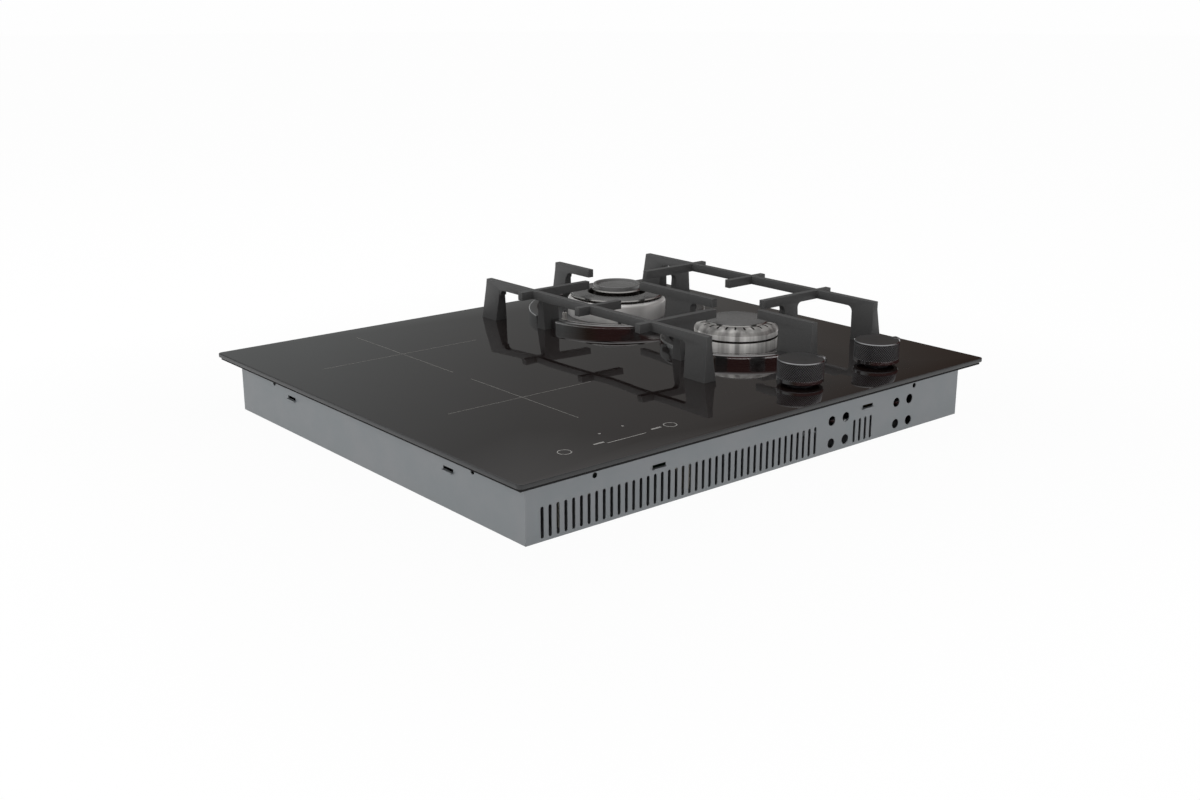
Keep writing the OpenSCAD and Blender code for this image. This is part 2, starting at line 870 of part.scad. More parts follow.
// Soft gaskets that close the spindle holes
gasket_lip_r = 13;
gasket_lip_t = 1;

module knob_gaskets() {
    color("#181818") for (side = [-1, 1]) at_knob(side) difference() {
        union() {
            translate([0, 0, glass_bottom]) cylinder(h = glass_t, r = spindle_hole_r);
            translate([0, 0, glass_top_z]) cylinder(h = gasket_lip_t, r = gasket_lip_r);
        }
        translate([0, 0, glass_bottom - cut])
            cylinder(h = glass_t + gasket_lip_t + 2 * cut, r = spindle_r + loose_gap);
    }
}

// Burner cups below the glass, with the deck that the crown stands on
deck_gap = 2;
deck_t = 3;
deck_top = 2;
skirt_t = 3;
cup_flange_w = 10;
cup_flange_t = 3;
cup_floor_z = 31;
cup_floor_t = 3;
boss_r = 14;
boss_z0 = 15;
injector_bore_r = 5;
wok_bowl_r = 40;
rapid_bowl_r = 30;
pipe_bend_r = 16;
probe_hole_r = 3;
probe_inset = 6.5;
wok_deck_r = wok_hole_r - deck_gap;
rapid_deck_r = rapid_hole_r - deck_gap;
deck_z = glass_top_z + deck_top;
wok_electrode_angle = 172;
wok_probe_angle = 232;
rapid_electrode_angle = 150;
rapid_probe_angle = 330;

// Place on the deck at an angle, just inside its rim
function deck_place(y, deck_r, angle) = [
    burner_x + (deck_r - probe_inset) * cos(angle), y + (deck_r - probe_inset) * sin(angle), 0];

electrode_places = [deck_place(wok_y, wok_deck_r, wok_electrode_angle),
    deck_place(rapid_y, rapid_deck_r, rapid_electrode_angle)];
probe_places = [deck_place(wok_y, wok_deck_r, wok_probe_angle),
    deck_place(rapid_y, rapid_deck_r, rapid_probe_angle)];

module burner_cup(y, deck_r, bowl_r) {
    color("gainsboro") difference() {
        at_burner(y) rotate_extrude() polygon([
            [0, boss_z0], [boss_r, boss_z0], [boss_r, cup_floor_z], [bowl_r, cup_floor_z],
            [bowl_r, deck_z - deck_t], [deck_r - skirt_t, deck_z - deck_t],
            [deck_r - skirt_t, glass_bottom - cup_flange_t],
            [deck_r + cup_flange_w, glass_bottom - cup_flange_t], [deck_r + cup_flange_w, glass_bottom],
            [deck_r, glass_bottom], [deck_r, deck_z], [bowl_r - skirt_t, deck_z],
            [bowl_r - skirt_t, cup_floor_z + cup_floor_t], [0, cup_floor_z + cup_floor_t]]);
        at_burner(y) translate([0, 0, boss_z0 + cup_floor_t]) cylinder(h = cup_floor_z, r = injector_bore_r);
        for (place = concat(electrode_places, probe_places)) translate(place)
            translate([0, 0, glass_bottom]) cylinder(h = deck_z, r = probe_hole_r);
        // Port for the gas pipe, on the side that the pipe comes from
        translate([burner_x, y, pipe_z]) rotate([0, y > 0 ? -90 : 90, 0])
            cylinder(h = boss_r + cut, r = pipe_bore_r);
    }
}

module wok_cup() {
    burner_cup(wok_y, wok_deck_r, wok_bowl_r);
}

module rapid_cup() {
    burner_cup(rapid_y, rapid_deck_r, rapid_bowl_r);
}

injector_h = 12;
injector_head_r = 6.5;
injector_head_h = 4;
injector_jet_r = 0.6;

module injectors() {
    color("gold") for (y = [wok_y, rapid_y]) at_burner(y) difference() {
        union() {
            translate([0, 0, cup_floor_z + cup_floor_t + injector_head_h - injector_h])
                cylinder(h = injector_h - injector_head_h, r = injector_bore_r);
            translate([0, 0, cup_floor_z + cup_floor_t])
                cylinder(h = injector_head_h, r = injector_head_r, $fn = 6);
        }
        translate([0, 0, cup_floor_z]) cylinder(h = injector_h, r = injector_jet_r);
    }
}

// Pipe from a tap to its burner: along Y, then a bend towards the burner
module gas_pipe(side, y, r) {
    start_x = burner_x + side * knob_x;
    start_y = knob_y + tap_r + outlet_len;
    translate([start_x, start_y, pipe_z]) rotate([-90, 0, 0])
        cylinder(h = y - pipe_bend_r - start_y, r = r);
    translate([start_x - side * pipe_bend_r, y - pipe_bend_r, pipe_z]) rotate([0, 0, side > 0 ? 0 : 90])
        rotate_extrude(angle = 90) translate([pipe_bend_r, 0]) circle(r);
    translate([start_x - side * pipe_bend_r, y, pipe_z]) rotate([0, -side * 90, 0])
        cylinder(h = knob_x - pipe_bend_r - boss_r, r = r);
}

module wok_pipe() {
    color("silver") difference() {
        gas_pipe(-1, wok_y, pipe_r);
        gas_pipe(-1, wok_y, pipe_bore_r);
    }
}

module rapid_pipe() {
    color("silver") difference() {
        gas_pipe(1, rapid_y, pipe_r);
        gas_pipe(1, rapid_y, pipe_bore_r);
    }
}

// Spark generator and the leads of the gas side
generator_from_divider = 38;
generator_from_wok = 138;
generator_x0 = divider_x + generator_from_divider;
generator_y0 = wok_y - generator_from_wok;
generator_w = 38;
generator_d = 62;
generator_h = 26;
lead_r = 1.5;
lead_spread = 23;
lead_top_z = 44;
lead_end_gap = 6;
lead_end_z = glass_bottom - lead_end_gap;
probe_lead_z = 32;
probe_lead_out = 13;
generator_top_z = sheet_t + generator_h;

module spark_generator() {
    color("#303034") translate([generator_x0, generator_y0, sheet_t])
        cube([generator_w, generator_d, generator_h]);
}

lead_sides = [1, -1];

module ignition_leads() {
    generator_x = generator_x0 + generator_w / 2;
    color("indianred") for (i = [0, 1]) {
        place = electrode_places[i];
        out_y = generator_y0 + generator_d / 2 + lead_sides[i] * lead_spread;
        wire([[generator_x, out_y, generator_top_z], [generator_x, out_y, lead_top_z],
            [place[0], place[1], lead_top_z], [place[0], place[1], lead_end_z]], lead_r);
    }
}

module thermocouple_leads() {
    color("peru") for (i = [0, 1]) {
        place = probe_places[i];
        side = 2 * i - 1;
        tap_x = burner_x + side * (knob_x + tap_r);
        wire([[tap_x, knob_y, probe_lead_z], [tap_x + side * probe_lead_out, knob_y, probe_lead_z],
            [place[0], place[1], probe_lead_z], [place[0], place[1], lead_end_z]], lead_r);
    }
}

// Burners above the glass

// Trim dish: one bent sheet ring, notched where the legs of the pan supports stand
dish_sheet_t = 1.2;
dish_rim_w = 11;
dish_edge = 2.5;
dish_floor_gap = 1.5;
notch_gap = 1;
// Legs of the pan supports, as distances over and inside the outer edge of a dish
wok_leg_out = 9;
wok_leg_in = 12;
rapid_leg_out = 5;
rapid_leg_in = 15;
centre_leg_in = 14;
front_leg_out = 28;
front_leg_in = 17;

module dish(y, r, hole_r, leg_ins, right_shift) {
    inner = r - dish_rim_w;
    color("lightgray") at_burner(y) translate([0, 0, glass_top_z]) difference() {
        rotate_extrude() polygon([
            [r - dish_sheet_t, 0], [r, 0], [r, dish_h - dish_edge], [r - dish_edge, dish_h],
            [inner + dish_edge, dish_h], [inner, dish_h - dish_edge], [inner, dish_sheet_t],
            [hole_r + dish_floor_gap, dish_sheet_t], [hole_r + dish_floor_gap, 0],
            [inner + dish_sheet_t, 0], [inner + dish_sheet_t, dish_h - dish_edge],
            [inner + dish_edge, dish_h - dish_sheet_t], [r - dish_edge, dish_h - dish_sheet_t],
            [r - dish_sheet_t, dish_h - dish_edge]]);
        for (i = [0 : 3]) rotate([0, 0, i * 90])
            translate([r - leg_ins[i] - notch_gap, -foot_t / 2 - notch_gap + (i == 0 ? right_shift : 0), -cut])
                cube([leg_ins[i] + notch_gap + cut, foot_t + 2 * notch_gap, dish_h + 2 * cut]);
    }
}

module wok_dish() {
    dish(wok_y, wok_dish_r, wok_hole_r, [wok_leg_in, wok_leg_in, wok_leg_in, centre_leg_in], 0);
}

module rapid_dish() {
    dish(rapid_y, rapid_dish_r, rapid_hole_r, [rapid_leg_in, centre_leg_in, rapid_leg_in, front_leg_in],
        right_bar_shift);
}

// Crowns and caps, with levels above the glass
spigot_gap = 0.4;
spigot_h = 5;
spigot_t = 3.5;
crown_floor_t = 6;
crown_bore_r = 12;
port_w = 1.6;
port_h = 4;
port_pitch = 8.6;

// Radial slots from one radius to another, h deep below level z
module ports(count, r0, r1, z, h) {
    for (i = [0 : count - 1]) rotate([0, 0, (i + 0.5) * 360 / count])
        translate([r0, -port_w / 2, z - h]) cube([r1 - r0, port_w, h + cut]);
}

wok_top = 25.5;
wok_wall_t = 6;
wok_cap_inset = 3;
wok_cap_h = 2.5;
wok_cap_inner_r = 33;
wok_inner_wall_t = 4;
wok_tower_r = 27;
wok_tower_wall_t = 5;
wok_tower_top = 30.5;
wok_gap_floor = 10;
wok_centre_cap_r = 28;
wok_centre_cap_h = 6.5;
wok_cap_recess_r = 22.5;
wok_cap_recess = 3;
wok_band_in = 4;
wok_band_h = 2.5;
wok_centre_ports = 18;
cap_lip_h = 2;
cap_edge = 1;

module wok_crown() {
    floor_z = deck_top + crown_floor_t;
    tower_in = wok_tower_r - wok_tower_wall_t;
    spigot_r = wok_bowl_r - skirt_t - spigot_gap;
    color("lightgray") at_burner(wok_y) translate([0, 0, glass_top_z]) difference() {
        rotate_extrude() polygon([
            [crown_bore_r, deck_top], [spigot_r - spigot_t, deck_top],
            [spigot_r - spigot_t, deck_top - spigot_h], [spigot_r, deck_top - spigot_h],
            [spigot_r, deck_top], [wok_crown_r, deck_top],
            [wok_crown_r, wok_top - wok_band_h], [wok_crown_r - wok_band_in, wok_top - wok_band_h],
            [wok_crown_r - wok_band_in, wok_top], [wok_crown_r - wok_wall_t, wok_top],
            [wok_crown_r - wok_wall_t, floor_z],
            [wok_cap_inner_r + wok_inner_wall_t, floor_z], [wok_cap_inner_r + wok_inner_wall_t, wok_top],
            [wok_cap_inner_r, wok_top], [wok_cap_inner_r, wok_gap_floor], [wok_tower_r, wok_gap_floor],
            [wok_tower_r, wok_tower_top], [tower_in, wok_tower_top], [tower_in, floor_z],
            [crown_bore_r, floor_z]]);
        ports(floor(2 * PI * wok_crown_r / port_pitch), wok_crown_r - wok_wall_t - cut,
            wok_crown_r - wok_band_in + cut, wok_top, wok_band_h);
        ports(wok_centre_ports, tower_in - cut, wok_tower_r + cut, wok_tower_top, port_h);
    }
}

module wok_ring_cap() {
    outer = wok_crown_r - wok_cap_inset;
    lip_outer = wok_crown_r - wok_wall_t - loose_gap;
    lip_inner = wok_cap_inner_r + wok_inner_wall_t + loose_gap;
    color("#b8b0a4") at_burner(wok_y) translate([0, 0, glass_top_z + wok_top]) rotate_extrude() polygon([
        [wok_cap_inner_r, 0], [lip_inner, 0], [lip_inner, -cap_lip_h], [lip_outer, -cap_lip_h],
        [lip_outer, 0], [outer, 0], [outer, wok_cap_h - cap_edge], [outer - cap_edge, wok_cap_h],
        [wok_cap_inner_r + cap_edge, wok_cap_h], [wok_cap_inner_r, wok_cap_h - cap_edge]]);
}

module wok_centre_cap() {
    r = wok_centre_cap_r;
    lip_r = wok_tower_r - wok_tower_wall_t - loose_gap;
    level = glass_top_z + wok_tower_top;
    color("#b8b0a4") at_burner(wok_y) translate([0, 0, level]) rotate_extrude() polygon([
        [0, -cap_lip_h], [lip_r, -cap_lip_h], [lip_r, 0], [r, 0], [r, wok_centre_cap_h - cap_edge],
        [r - cap_edge, wok_centre_cap_h], [wok_cap_recess_r + cap_edge, wok_centre_cap_h],
        [wok_cap_recess_r, wok_centre_cap_h - wok_cap_recess], [0, wok_centre_cap_h - wok_cap_recess]]);
}

rapid_top = 27.7;
rapid_cone_z = 20.5;
rapid_cone_in = 9;
rapid_mouth_in = 18;
rapid_port_out = 3.5;
rapid_port_h = 2.5;
rapid_cap_in = 11.5;
rapid_cap_h = 2.6;
groove_z = 13.3;
groove_h = 2.2;
groove_deep = 2.5;

module rapid_crown() {
    r = rapid_crown_r;
    floor_z = deck_top + crown_floor_t;
    spigot_r = rapid_bowl_r - skirt_t - spigot_gap;
    color("lightgray") at_burner(rapid_y) translate([0, 0, glass_top_z]) difference() {
        rotate_extrude() polygon([
            [crown_bore_r, deck_top], [spigot_r - spigot_t, deck_top],
            [spigot_r - spigot_t, deck_top - spigot_h], [spigot_r, deck_top - spigot_h],
            [spigot_r, deck_top], [r, deck_top], [r, groove_z],
            [r - groove_deep, groove_z], [r - groove_deep, groove_z + groove_h], [r, groove_z + groove_h],
            [r, rapid_cone_z], [r - rapid_cone_in, rapid_top], [r - rapid_mouth_in, rapid_top],
            [r - rapid_mouth_in, floor_z], [crown_bore_r, floor_z]]);
        ports(floor(2 * PI * (r - rapid_cone_in) / port_pitch), r - rapid_mouth_in - cut,
            r - rapid_cone_in + rapid_port_out, rapid_top, rapid_port_h);
    }
}

module rapid_cap() {
    r = rapid_crown_r - rapid_cap_in;
    lip_r = rapid_crown_r - rapid_mouth_in - loose_gap;
    level = glass_top_z + rapid_top;
    color("#8a8a8c") at_burner(rapid_y) translate([0, 0, level]) rotate_extrude() polygon([
        [0, -cap_lip_h], [lip_r, -cap_lip_h], [lip_r, 0], [r, 0], [r, rapid_cap_h - cap_edge],
        [r - cap_edge, rapid_cap_h], [0, rapid_cap_h]]);
}

// Electrodes and flame sensors, which stand in holes of the decks
ceramic_r = 2.5;
ceramic_up = 9;
pin_r = 0.8;
pin_up = 12;
probe_r = 2;
probe_up = 7;
probe_tip_r = 1.4;
probe_tip_up = 12;
seat_r = 4;
seat_h = 1.5;

// Stepped round post that rises from the end of its lead through the deck
module stepped_post(place, r, up, tip_r, tip_up) {
    translate([place[0], place[1], lead_end_z]) {
        cylinder(h = deck_z + up - lead_end_z, r = r);
        cylinder(h = deck_z + tip_up - lead_end_z, r = tip_r);
    }
    translate([place[0], place[1], deck_z]) cylinder(h = seat_h, r = seat_r);
}

module spark_electrodes() {
    color("white") for (place = electrode_places) stepped_post(place, ceramic_r, ceramic_up, pin_r, pin_up);
}

module thermocouples() {
    color("silver") for (place = probe_places)
        stepped_post(place, probe_r, probe_up, probe_tip_r, probe_tip_up);
}

// Pan supports

// Ends of the bars, as distances from the burners' axes
wok_tip = 43.5;
rapid_tip = 33;
middle_tip = 80.5;
middle_shift = -1.5;
nub_out = 15;
// Legs of the rails
rail_front_out = 82;
rail_front_leg = 29;
rail_rear_out = 83;
rail_rear_leg = 26.3;
rear_lean = 7;
foot_flare = 2;
right_foot_flare = 7.5;
right_front_out = 86;
right_rear_out = 80;
right_rear_leg = 31.5;
right_rear_lean = 8.5;
right_bar_shift = -4.3;
finger_tip = 46.5;
finger_lean = 4;
rear_finger_out = 109;
rear_finger_leg = 21.5;
window_r = 6;
support_reach = 300;

// Side view of a bar from a to b
module bar_side(a, b) {
    translate([a, support_h - bar_h]) square([b - a, bar_h]);
}

// Side view of a leg from a to b, whose foot is shifted by lean
module leg_side(a, b, lean) {
    polygon([[a + lean, 0], [b + lean, 0], [b, support_h], [a, support_h]]);
}

// Round corner between the underside of a bar and a leg's face at a, on the side that dir names
module window_corner(a, dir) {
    translate([a, support_h - bar_h]) mirror([dir < 0 ? 1 : 0, 0]) difference() {
        translate([-cut, -window_r]) square([window_r + cut, window_r + cut]);
        translate([window_r, -window_r]) circle(window_r);
    }
}

// Bar along X at place y: its side view, narrowed to the flared section
module bar_along_x(y) {
    translate([0, y, 0]) intersection() {
        translate([0, foot_t / 2, 0]) rotate([90, 0, 0]) linear_extrude(foot_t) children();
        translate([-support_reach, 0, 0]) rotate([90, 0, 90]) linear_extrude(2 * support_reach)
            polygon([[-foot_t / 2, 0], [-bar_t / 2, support_h - bar_h], [-bar_t / 2, support_h],
                [bar_t / 2, support_h], [bar_t / 2, support_h - bar_h], [foot_t / 2, 0]]);
    }
}

// Bar along Y in the plane of the burners' axis
module bar_along_y() {
    rotate([0, 0, 90]) bar_along_x(0) children();
}

// Rail along Y whose outer face is at -rail_x and whose foot flares out and in from there
module rail(flare_out, flare_in, front_out, rear_out, rear_leg, lean) {
    front = rapid_y - front_out;
    rear = wok_y + rear_out;
    translate([-rail_x, 0, 0]) intersection() {
        translate([-flare_out, 0, 0]) rotate([90, 0, 90]) linear_extrude(flare_out + bar_t + flare_in) {
            bar_side(front, rear);
            leg_side(front, front + rail_front_leg, 0);
            leg_side(rear - rear_leg, rear, lean);
            window_corner(front + rail_front_leg, 1);
            window_corner(rear - rear_leg, -1);
        }
        translate([0, support_reach, 0]) rotate([90, 0, 0]) linear_extrude(2 * support_reach)
            polygon([[-flare_out, 0], [0, support_h - bar_h], [0, support_h], [bar_t, support_h],
                [bar_t, support_h - bar_h], [bar_t + flare_in, 0]]);
    }
}

module side_support(side) {
    color("#2c2c2e") translate([burner_x, 0, glass_top_z]) mirror([side > 0 ? 1 : 0, 0, 0]) {
        if (side < 0) rail(foot_flare, foot_t - bar_t, rail_front_out, rail_rear_out, rail_rear_leg, rear_lean);
        else rail(right_foot_flare, 0, right_front_out, right_rear_out, right_rear_leg, right_rear_lean);
        bar_along_x(wok_y) {
            bar_side(-rail_x - nub_out, -wok_tip);
            leg_side(-wok_dish_r - wok_leg_out, -wok_dish_r + wok_leg_in, 0);
            window_corner(-wok_dish_r + wok_leg_in, 1);
        }
        bar_along_x((wok_y + rapid_y) / 2 + middle_shift) bar_side(-rail_x - nub_out, -middle_tip);
        bar_along_x(rapid_y + (side > 0 ? right_bar_shift : 0)) {
            bar_side(-rail_x - nub_out, -rapid_tip);
            leg_side(-rapid_dish_r - rapid_leg_out, -rapid_dish_r + rapid_leg_in, 0);
            window_corner(-rapid_dish_r - rapid_leg_out, -1);
            window_corner(-rapid_dish_r + rapid_leg_in, 1);
        }
    }
}

module left_support() {
    side_support(-1);
}

module right_support() {
    side_support(1);
}

// The three loose bars stand in the middle plane
module middle_support() {
    color("#2c2c2e") translate([burner_x, 0, glass_top_z]) bar_along_y() children();
}

module rear_finger() {
    middle_support() {
        bar_side(wok_y + finger_tip, wok_y + rear_finger_out);
        leg_side(wok_y + rear_finger_out - rear_finger_leg, wok_y + rear_finger_out, finger_lean);
        window_corner(wok_y + rear_finger_out - rear_finger_leg, -1);
    }
}

module centre_bar() {
    leg_front = rapid_y + rapid_dish_r - centre_leg_in;
    leg_rear = wok_y - wok_dish_r + centre_leg_in;
    middle_support() {
        bar_side(rapid_y + rapid_tip, wok_y - wok_tip);
        leg_side(leg_front, leg_rear, 0);
        window_corner(leg_front, -1);
        window_corner(leg_rear, 1);
    }
}

module front_finger() {
    leg_front = rapid_y - rapid_dish_r - front_leg_out;
    leg_rear = rapid_y - rapid_dish_r + front_leg_in;
    middle_support() {
        bar_side(leg_front, rapid_y - rapid_tip);
        leg_side(leg_front, leg_rear, 0);
        window_corner(leg_rear, 1);
    }
}

casing();
glass_top();
glass_bond();
worktop_seal();
divider();
screws();
coil_tray();
tray_posts();
rear_coil();
front_coil();
ferrite_bars();
mica_discs();
coil_sensors();
power_board();
board_standoffs();
board_parts();
heat_sink();
fan_housing();
fan_rotor();
touch_holder();
touch_board();
touch_springs();
terminal_block();
cable_gland();
gas_inlet();
gas_ramp();
wok_tap();
rapid_tap();
tap_bonnets();
wok_pipe();
rapid_pipe();
wok_plug();
rapid_plug();
wok_spring();
rapid_spring();
wok_spindle();
rapid_spindle();
wok_cup();
rapid_cup();
injectors();
spark_generator();
ignition_leads();
thermocouple_leads();
wok_dish();
rapid_dish();
wok_crown();
wok_ring_cap();
wok_centre_cap();
rapid_crown();
rapid_cap();
spark_electrodes();
thermocouples();
knob_left();
knob_right();
knob_gaskets();
left_support();
right_support();
rear_finger();
centre_bar();
front_finger();
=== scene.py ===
import math

import bmesh
import bpy
from mathutils import Matrix, Vector


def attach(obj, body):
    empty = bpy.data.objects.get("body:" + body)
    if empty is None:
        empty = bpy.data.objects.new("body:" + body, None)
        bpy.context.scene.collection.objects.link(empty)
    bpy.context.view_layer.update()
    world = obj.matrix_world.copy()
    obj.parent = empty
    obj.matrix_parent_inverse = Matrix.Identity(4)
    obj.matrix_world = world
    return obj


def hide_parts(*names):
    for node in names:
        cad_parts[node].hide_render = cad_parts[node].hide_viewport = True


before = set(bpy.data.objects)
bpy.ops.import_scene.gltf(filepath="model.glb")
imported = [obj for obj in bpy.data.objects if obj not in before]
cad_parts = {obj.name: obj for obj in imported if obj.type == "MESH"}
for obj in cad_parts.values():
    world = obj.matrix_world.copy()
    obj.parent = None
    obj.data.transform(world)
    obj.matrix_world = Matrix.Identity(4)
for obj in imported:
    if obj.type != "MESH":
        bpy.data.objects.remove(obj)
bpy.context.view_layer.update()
mm = 0.001

# The photographer's bench: a camera at the height of a standing viewer, turned towards the
# hob's front left corner. Its lens and place were solved from the photograph's own lines.
camera_place = Vector((-887.8, -1062.6, 425.1)) * mm
camera_aim = Vector((0.6155, 0.7345, -0.2857))
camera = bpy.data.objects.new("camera", bpy.data.cameras.new("camera"))
camera.data.lens = 41.89
camera.data.sensor_width = 36
camera.data.clip_end = 50
camera.location = camera_place
camera.rotation_mode = "QUATERNION"
camera.rotation_quaternion = camera_aim.to_track_quat("-Z", "Y")
bpy.context.scene.collection.objects.link(camera)
bpy.context.scene.camera = camera
bpy.context.scene.view_settings.view_transform = "Standard"


def linear(hex_colour):
    """The linear colour of an sRGB hex value, with full alpha."""
    parts = [int(hex_colour[i : i + 2], 16) / 255 for i in (1, 3, 5)]
    return [p / 12.92 if p <= 0.04045 else ((p + 0.055) / 1.055) ** 2.4 for p in parts] + [1.0]


def add_node(tree, kind, values=None, links=None):
    """Adds a node with its settings, input values and links from other nodes' outputs."""
    node = tree.nodes.new(kind)
    for name, value in (values or {}).items():
        if isinstance(name, str) and hasattr(node, name):
            setattr(node, name, value)
        else:
            node.inputs[name].default_value = value
    for name, (source, output) in (links or {}).items():
        tree.links.new(source.outputs[output], node.inputs[name])
    return node


# The studio round it: white paper on the ground, which the camera, the metal and the glass all
# see as white, and above the camera's view a cloth ceiling over dim walls, dark maroon behind
# the camera and pale at the far left. The camera sees the walls too as bare white paper.
pale_wall_side = (-0.34, 0.94, 0)
wall_from = -0.3
wall_to = 0.8
ceiling_from = 0.42
ceiling_to = 0.8
paper_light = 0.4
world = bpy.data.worlds.new("studio")
bpy.context.scene.world = world
world.use_nodes = True
sky = world.node_tree
sky.nodes.clear()
rays = add_node(sky, "ShaderNodeLightPath")
place = add_node(sky, "ShaderNodeTexCoord")
height = add_node(sky, "ShaderNodeSeparateXYZ", links={0: (place, "Generated")})
leftward = add_node(sky, "ShaderNodeVectorMath", {"operation": "DOT_PRODUCT", 1: pale_wall_side},
                    {0: (place, "Generated")})
walls = add_node(sky, "ShaderNodeMapRange", {"From Min": wall_from, "From Max": wall_to},
                 {"Value": (leftward, "Value")})
wall_tone = add_node(sky, "ShaderNodeValToRGB", links={"Fac": (walls, 0)})
wall_tone.color_ramp.elements[0].position = 0.15
wall_tone.color_ramp.elements[0].color = linear("#3c2423")
wall_tone.color_ramp.elements[1].position = 0.9
wall_tone.color_ramp.elements[1].color = linear("#696b6b")
wall_tone.color_ramp.elements.new(0.4).color = linear("#33271f")
ceiling = add_node(sky, "ShaderNodeMapRange", {"From Min": ceiling_from, "From Max": ceiling_to},
                   {"Value": (height, "Z")})
studio_tone = add_node(sky, "ShaderNodeMix", {"data_type": "RGBA", 7: linear("#b4b4b4")},
                       {0: (ceiling, 0), 6: (wall_tone, 0)})
mirrored = add_node(sky, "ShaderNodeBackground", {"Strength": 1.0}, {"Color": (studio_tone, 2)})
lighting = add_node(sky, "ShaderNodeBackground", {"Color": linear("#ffffff"), "Strength": paper_light})
paper = add_node(sky, "ShaderNodeBackground", {"Color": linear("#fefefe"), "Strength": 1.0})
clear_rays = add_node(sky, "ShaderNodeMath", {"operation": "MAXIMUM"},
                      {0: (rays, "Is Glossy Ray"), 1: (rays, "Is Transmission Ray")})
soft = add_node(sky, "ShaderNodeMixShader", links={0: (clear_rays, 0), 1: (lighting, 0), 2: (mirrored, 0)})
seen = add_node(sky, "ShaderNodeMixShader", links={0: (rays, "Is Camera Ray"), 1: (soft, 0), 2: (paper, 0)})
add_node(sky, "ShaderNodeOutputWorld", links={"Surface": (seen, 0)})

# Three soft lamps, which the metal and the glass don't mirror. Each is given by its place, its
# target and its width in metres, and by its power in watts.
lamps = {
    "overhead_lamp": [(-0.3, 0.5, 1.7), (0.0, 0.0, 0.05), 1.6, 24],
    "left_lamp": [(-1.9, 0.1, 0.8), (0.0, 0.0, 0.05), 1.2, 14],
    "front_lamp": [(0.2, -2.0, 0.25), (0.1, 0.0, 0.05), 1.0, 14],
}
for name, (spot, target, size, watts) in lamps.items():
    light = bpy.data.lights.new(name, "AREA")
    light.size = size
    light.energy = watts
    lamp = bpy.data.objects.new(name, light)
    lamp.visible_glossy = False
    lamp.location = spot
    lamp.rotation_mode = "QUATERNION"
    lamp.rotation_quaternion = (Vector(target) - Vector(spot)).to_track_quat("-Z", "Y")
    bpy.context.scene.collection.objects.link(lamp)

# The floor: a wide sheet of white paper. The camera, the metal and the glass see it as white with
# a trace of the hob's shadow. For the light that it throws back, its colour is painted dark close
# to the casing, up to dark_reach metres from its walls, and white further out: a painted shade.
casing_half = (0.277, 0.2425, 0)
dark_reach = 0.4
white_share = 0.975
floor_radius = 12
floor_paper = bpy.data.materials.new("white floor paper")
floor_paper.use_nodes = True
floor_tree = floor_paper.node_tree
floor_tree.nodes.clear()
floor_rays = add_node(floor_tree, "ShaderNodeLightPath")
floor_spot = add_node(floor_tree, "ShaderNodeTexCoord")
floor_plan = add_node(floor_tree, "ShaderNodeVectorMath", {"operation": "ABSOLUTE"},
                      {0: (floor_spot, "Object")})
floor_past = add_node(floor_tree, "ShaderNodeVectorMath", {"operation": "SUBTRACT", 1: casing_half},
                      {0: (floor_plan, 0)})
floor_clear = add_node(floor_tree, "ShaderNodeVectorMath", {"operation": "MAXIMUM", 1: (0, 0, 0)},
                       {0: (floor_past, 0)})
floor_away = add_node(floor_tree, "ShaderNodeVectorMath", {"operation": "LENGTH"}, {0: (floor_clear, 0)})
floor_shade_fade = add_node(floor_tree, "ShaderNodeMapRange", {"From Min": 0.0, "From Max": dark_reach},
                      {"Value": (floor_away, "Value")})
# Painted shade: the floor's colour for bounced light is dark near the casing and pale further out.
floor_painted_shade = add_node(floor_tree, "ShaderNodeMix",
                      {"data_type": "RGBA", 6: linear("#1c1c1c"), 7: linear("#f2f2f2")}, {0: (floor_shade_fade, 0)})
floor_matt = add_node(floor_tree, "ShaderNodeBsdfDiffuse", links={"Color": (floor_painted_shade, 2)})
floor_white = add_node(floor_tree, "ShaderNodeEmission", {"Color": linear("#ffffff"), "Strength": 1.0})
floor_mirrored = add_node(floor_tree, "ShaderNodeMath", {"operation": "MAXIMUM"},
                          {0: (floor_rays, "Is Glossy Ray"), 1: (floor_rays, "Is Transmission Ray")})
floor_shown = add_node(floor_tree, "ShaderNodeMath", {"operation": "MAXIMUM"},
                       {0: (floor_rays, "Is Camera Ray"), 1: (floor_mirrored, 0)})
floor_seen = add_node(floor_tree, "ShaderNodeMath", {"operation": "MULTIPLY", 1: white_share},
                      {0: (floor_shown, 0)})
floor_mix = add_node(floor_tree, "ShaderNodeMixShader",
                     links={0: (floor_seen, 0), 1: (floor_matt, 0), 2: (floor_white, 0)})
add_node(floor_tree, "ShaderNodeOutputMaterial", links={"Surface": (floor_mix, 0)})
floor_bm = bmesh.new()
bmesh.ops.create_circle(floor_bm, cap_ends=True, segments=96, radius=floor_radius)
floor_mesh = bpy.data.meshes.new("floor")
floor_bm.to_mesh(floor_mesh)
floor_mesh.materials.append(floor_paper)
floor = bpy.data.objects.new("floor", floor_mesh)
bpy.context.scene.collection.objects.link(floor)


# Casing: a tub folded from 1 mm zinc-coated steel sheet, punched with vent slots and holes,
# with lanced clips and a flange turned inwards at the top. Zinc gives it a dull, cloudy grey.


def new_material(name, colour, roughness, metallic=0.0):
    """A material with a Principled shader; returns its tree and shader too."""
    made = bpy.data.materials.new(name)
    made.use_nodes = True
    shader = made.node_tree.nodes["Principled BSDF"]
    shader.inputs["Base Color"].default_value = linear(colour)
    shader.inputs["Roughness"].default_value = roughness
    shader.inputs["Metallic"].default_value = metallic
    return made, made.node_tree, shader


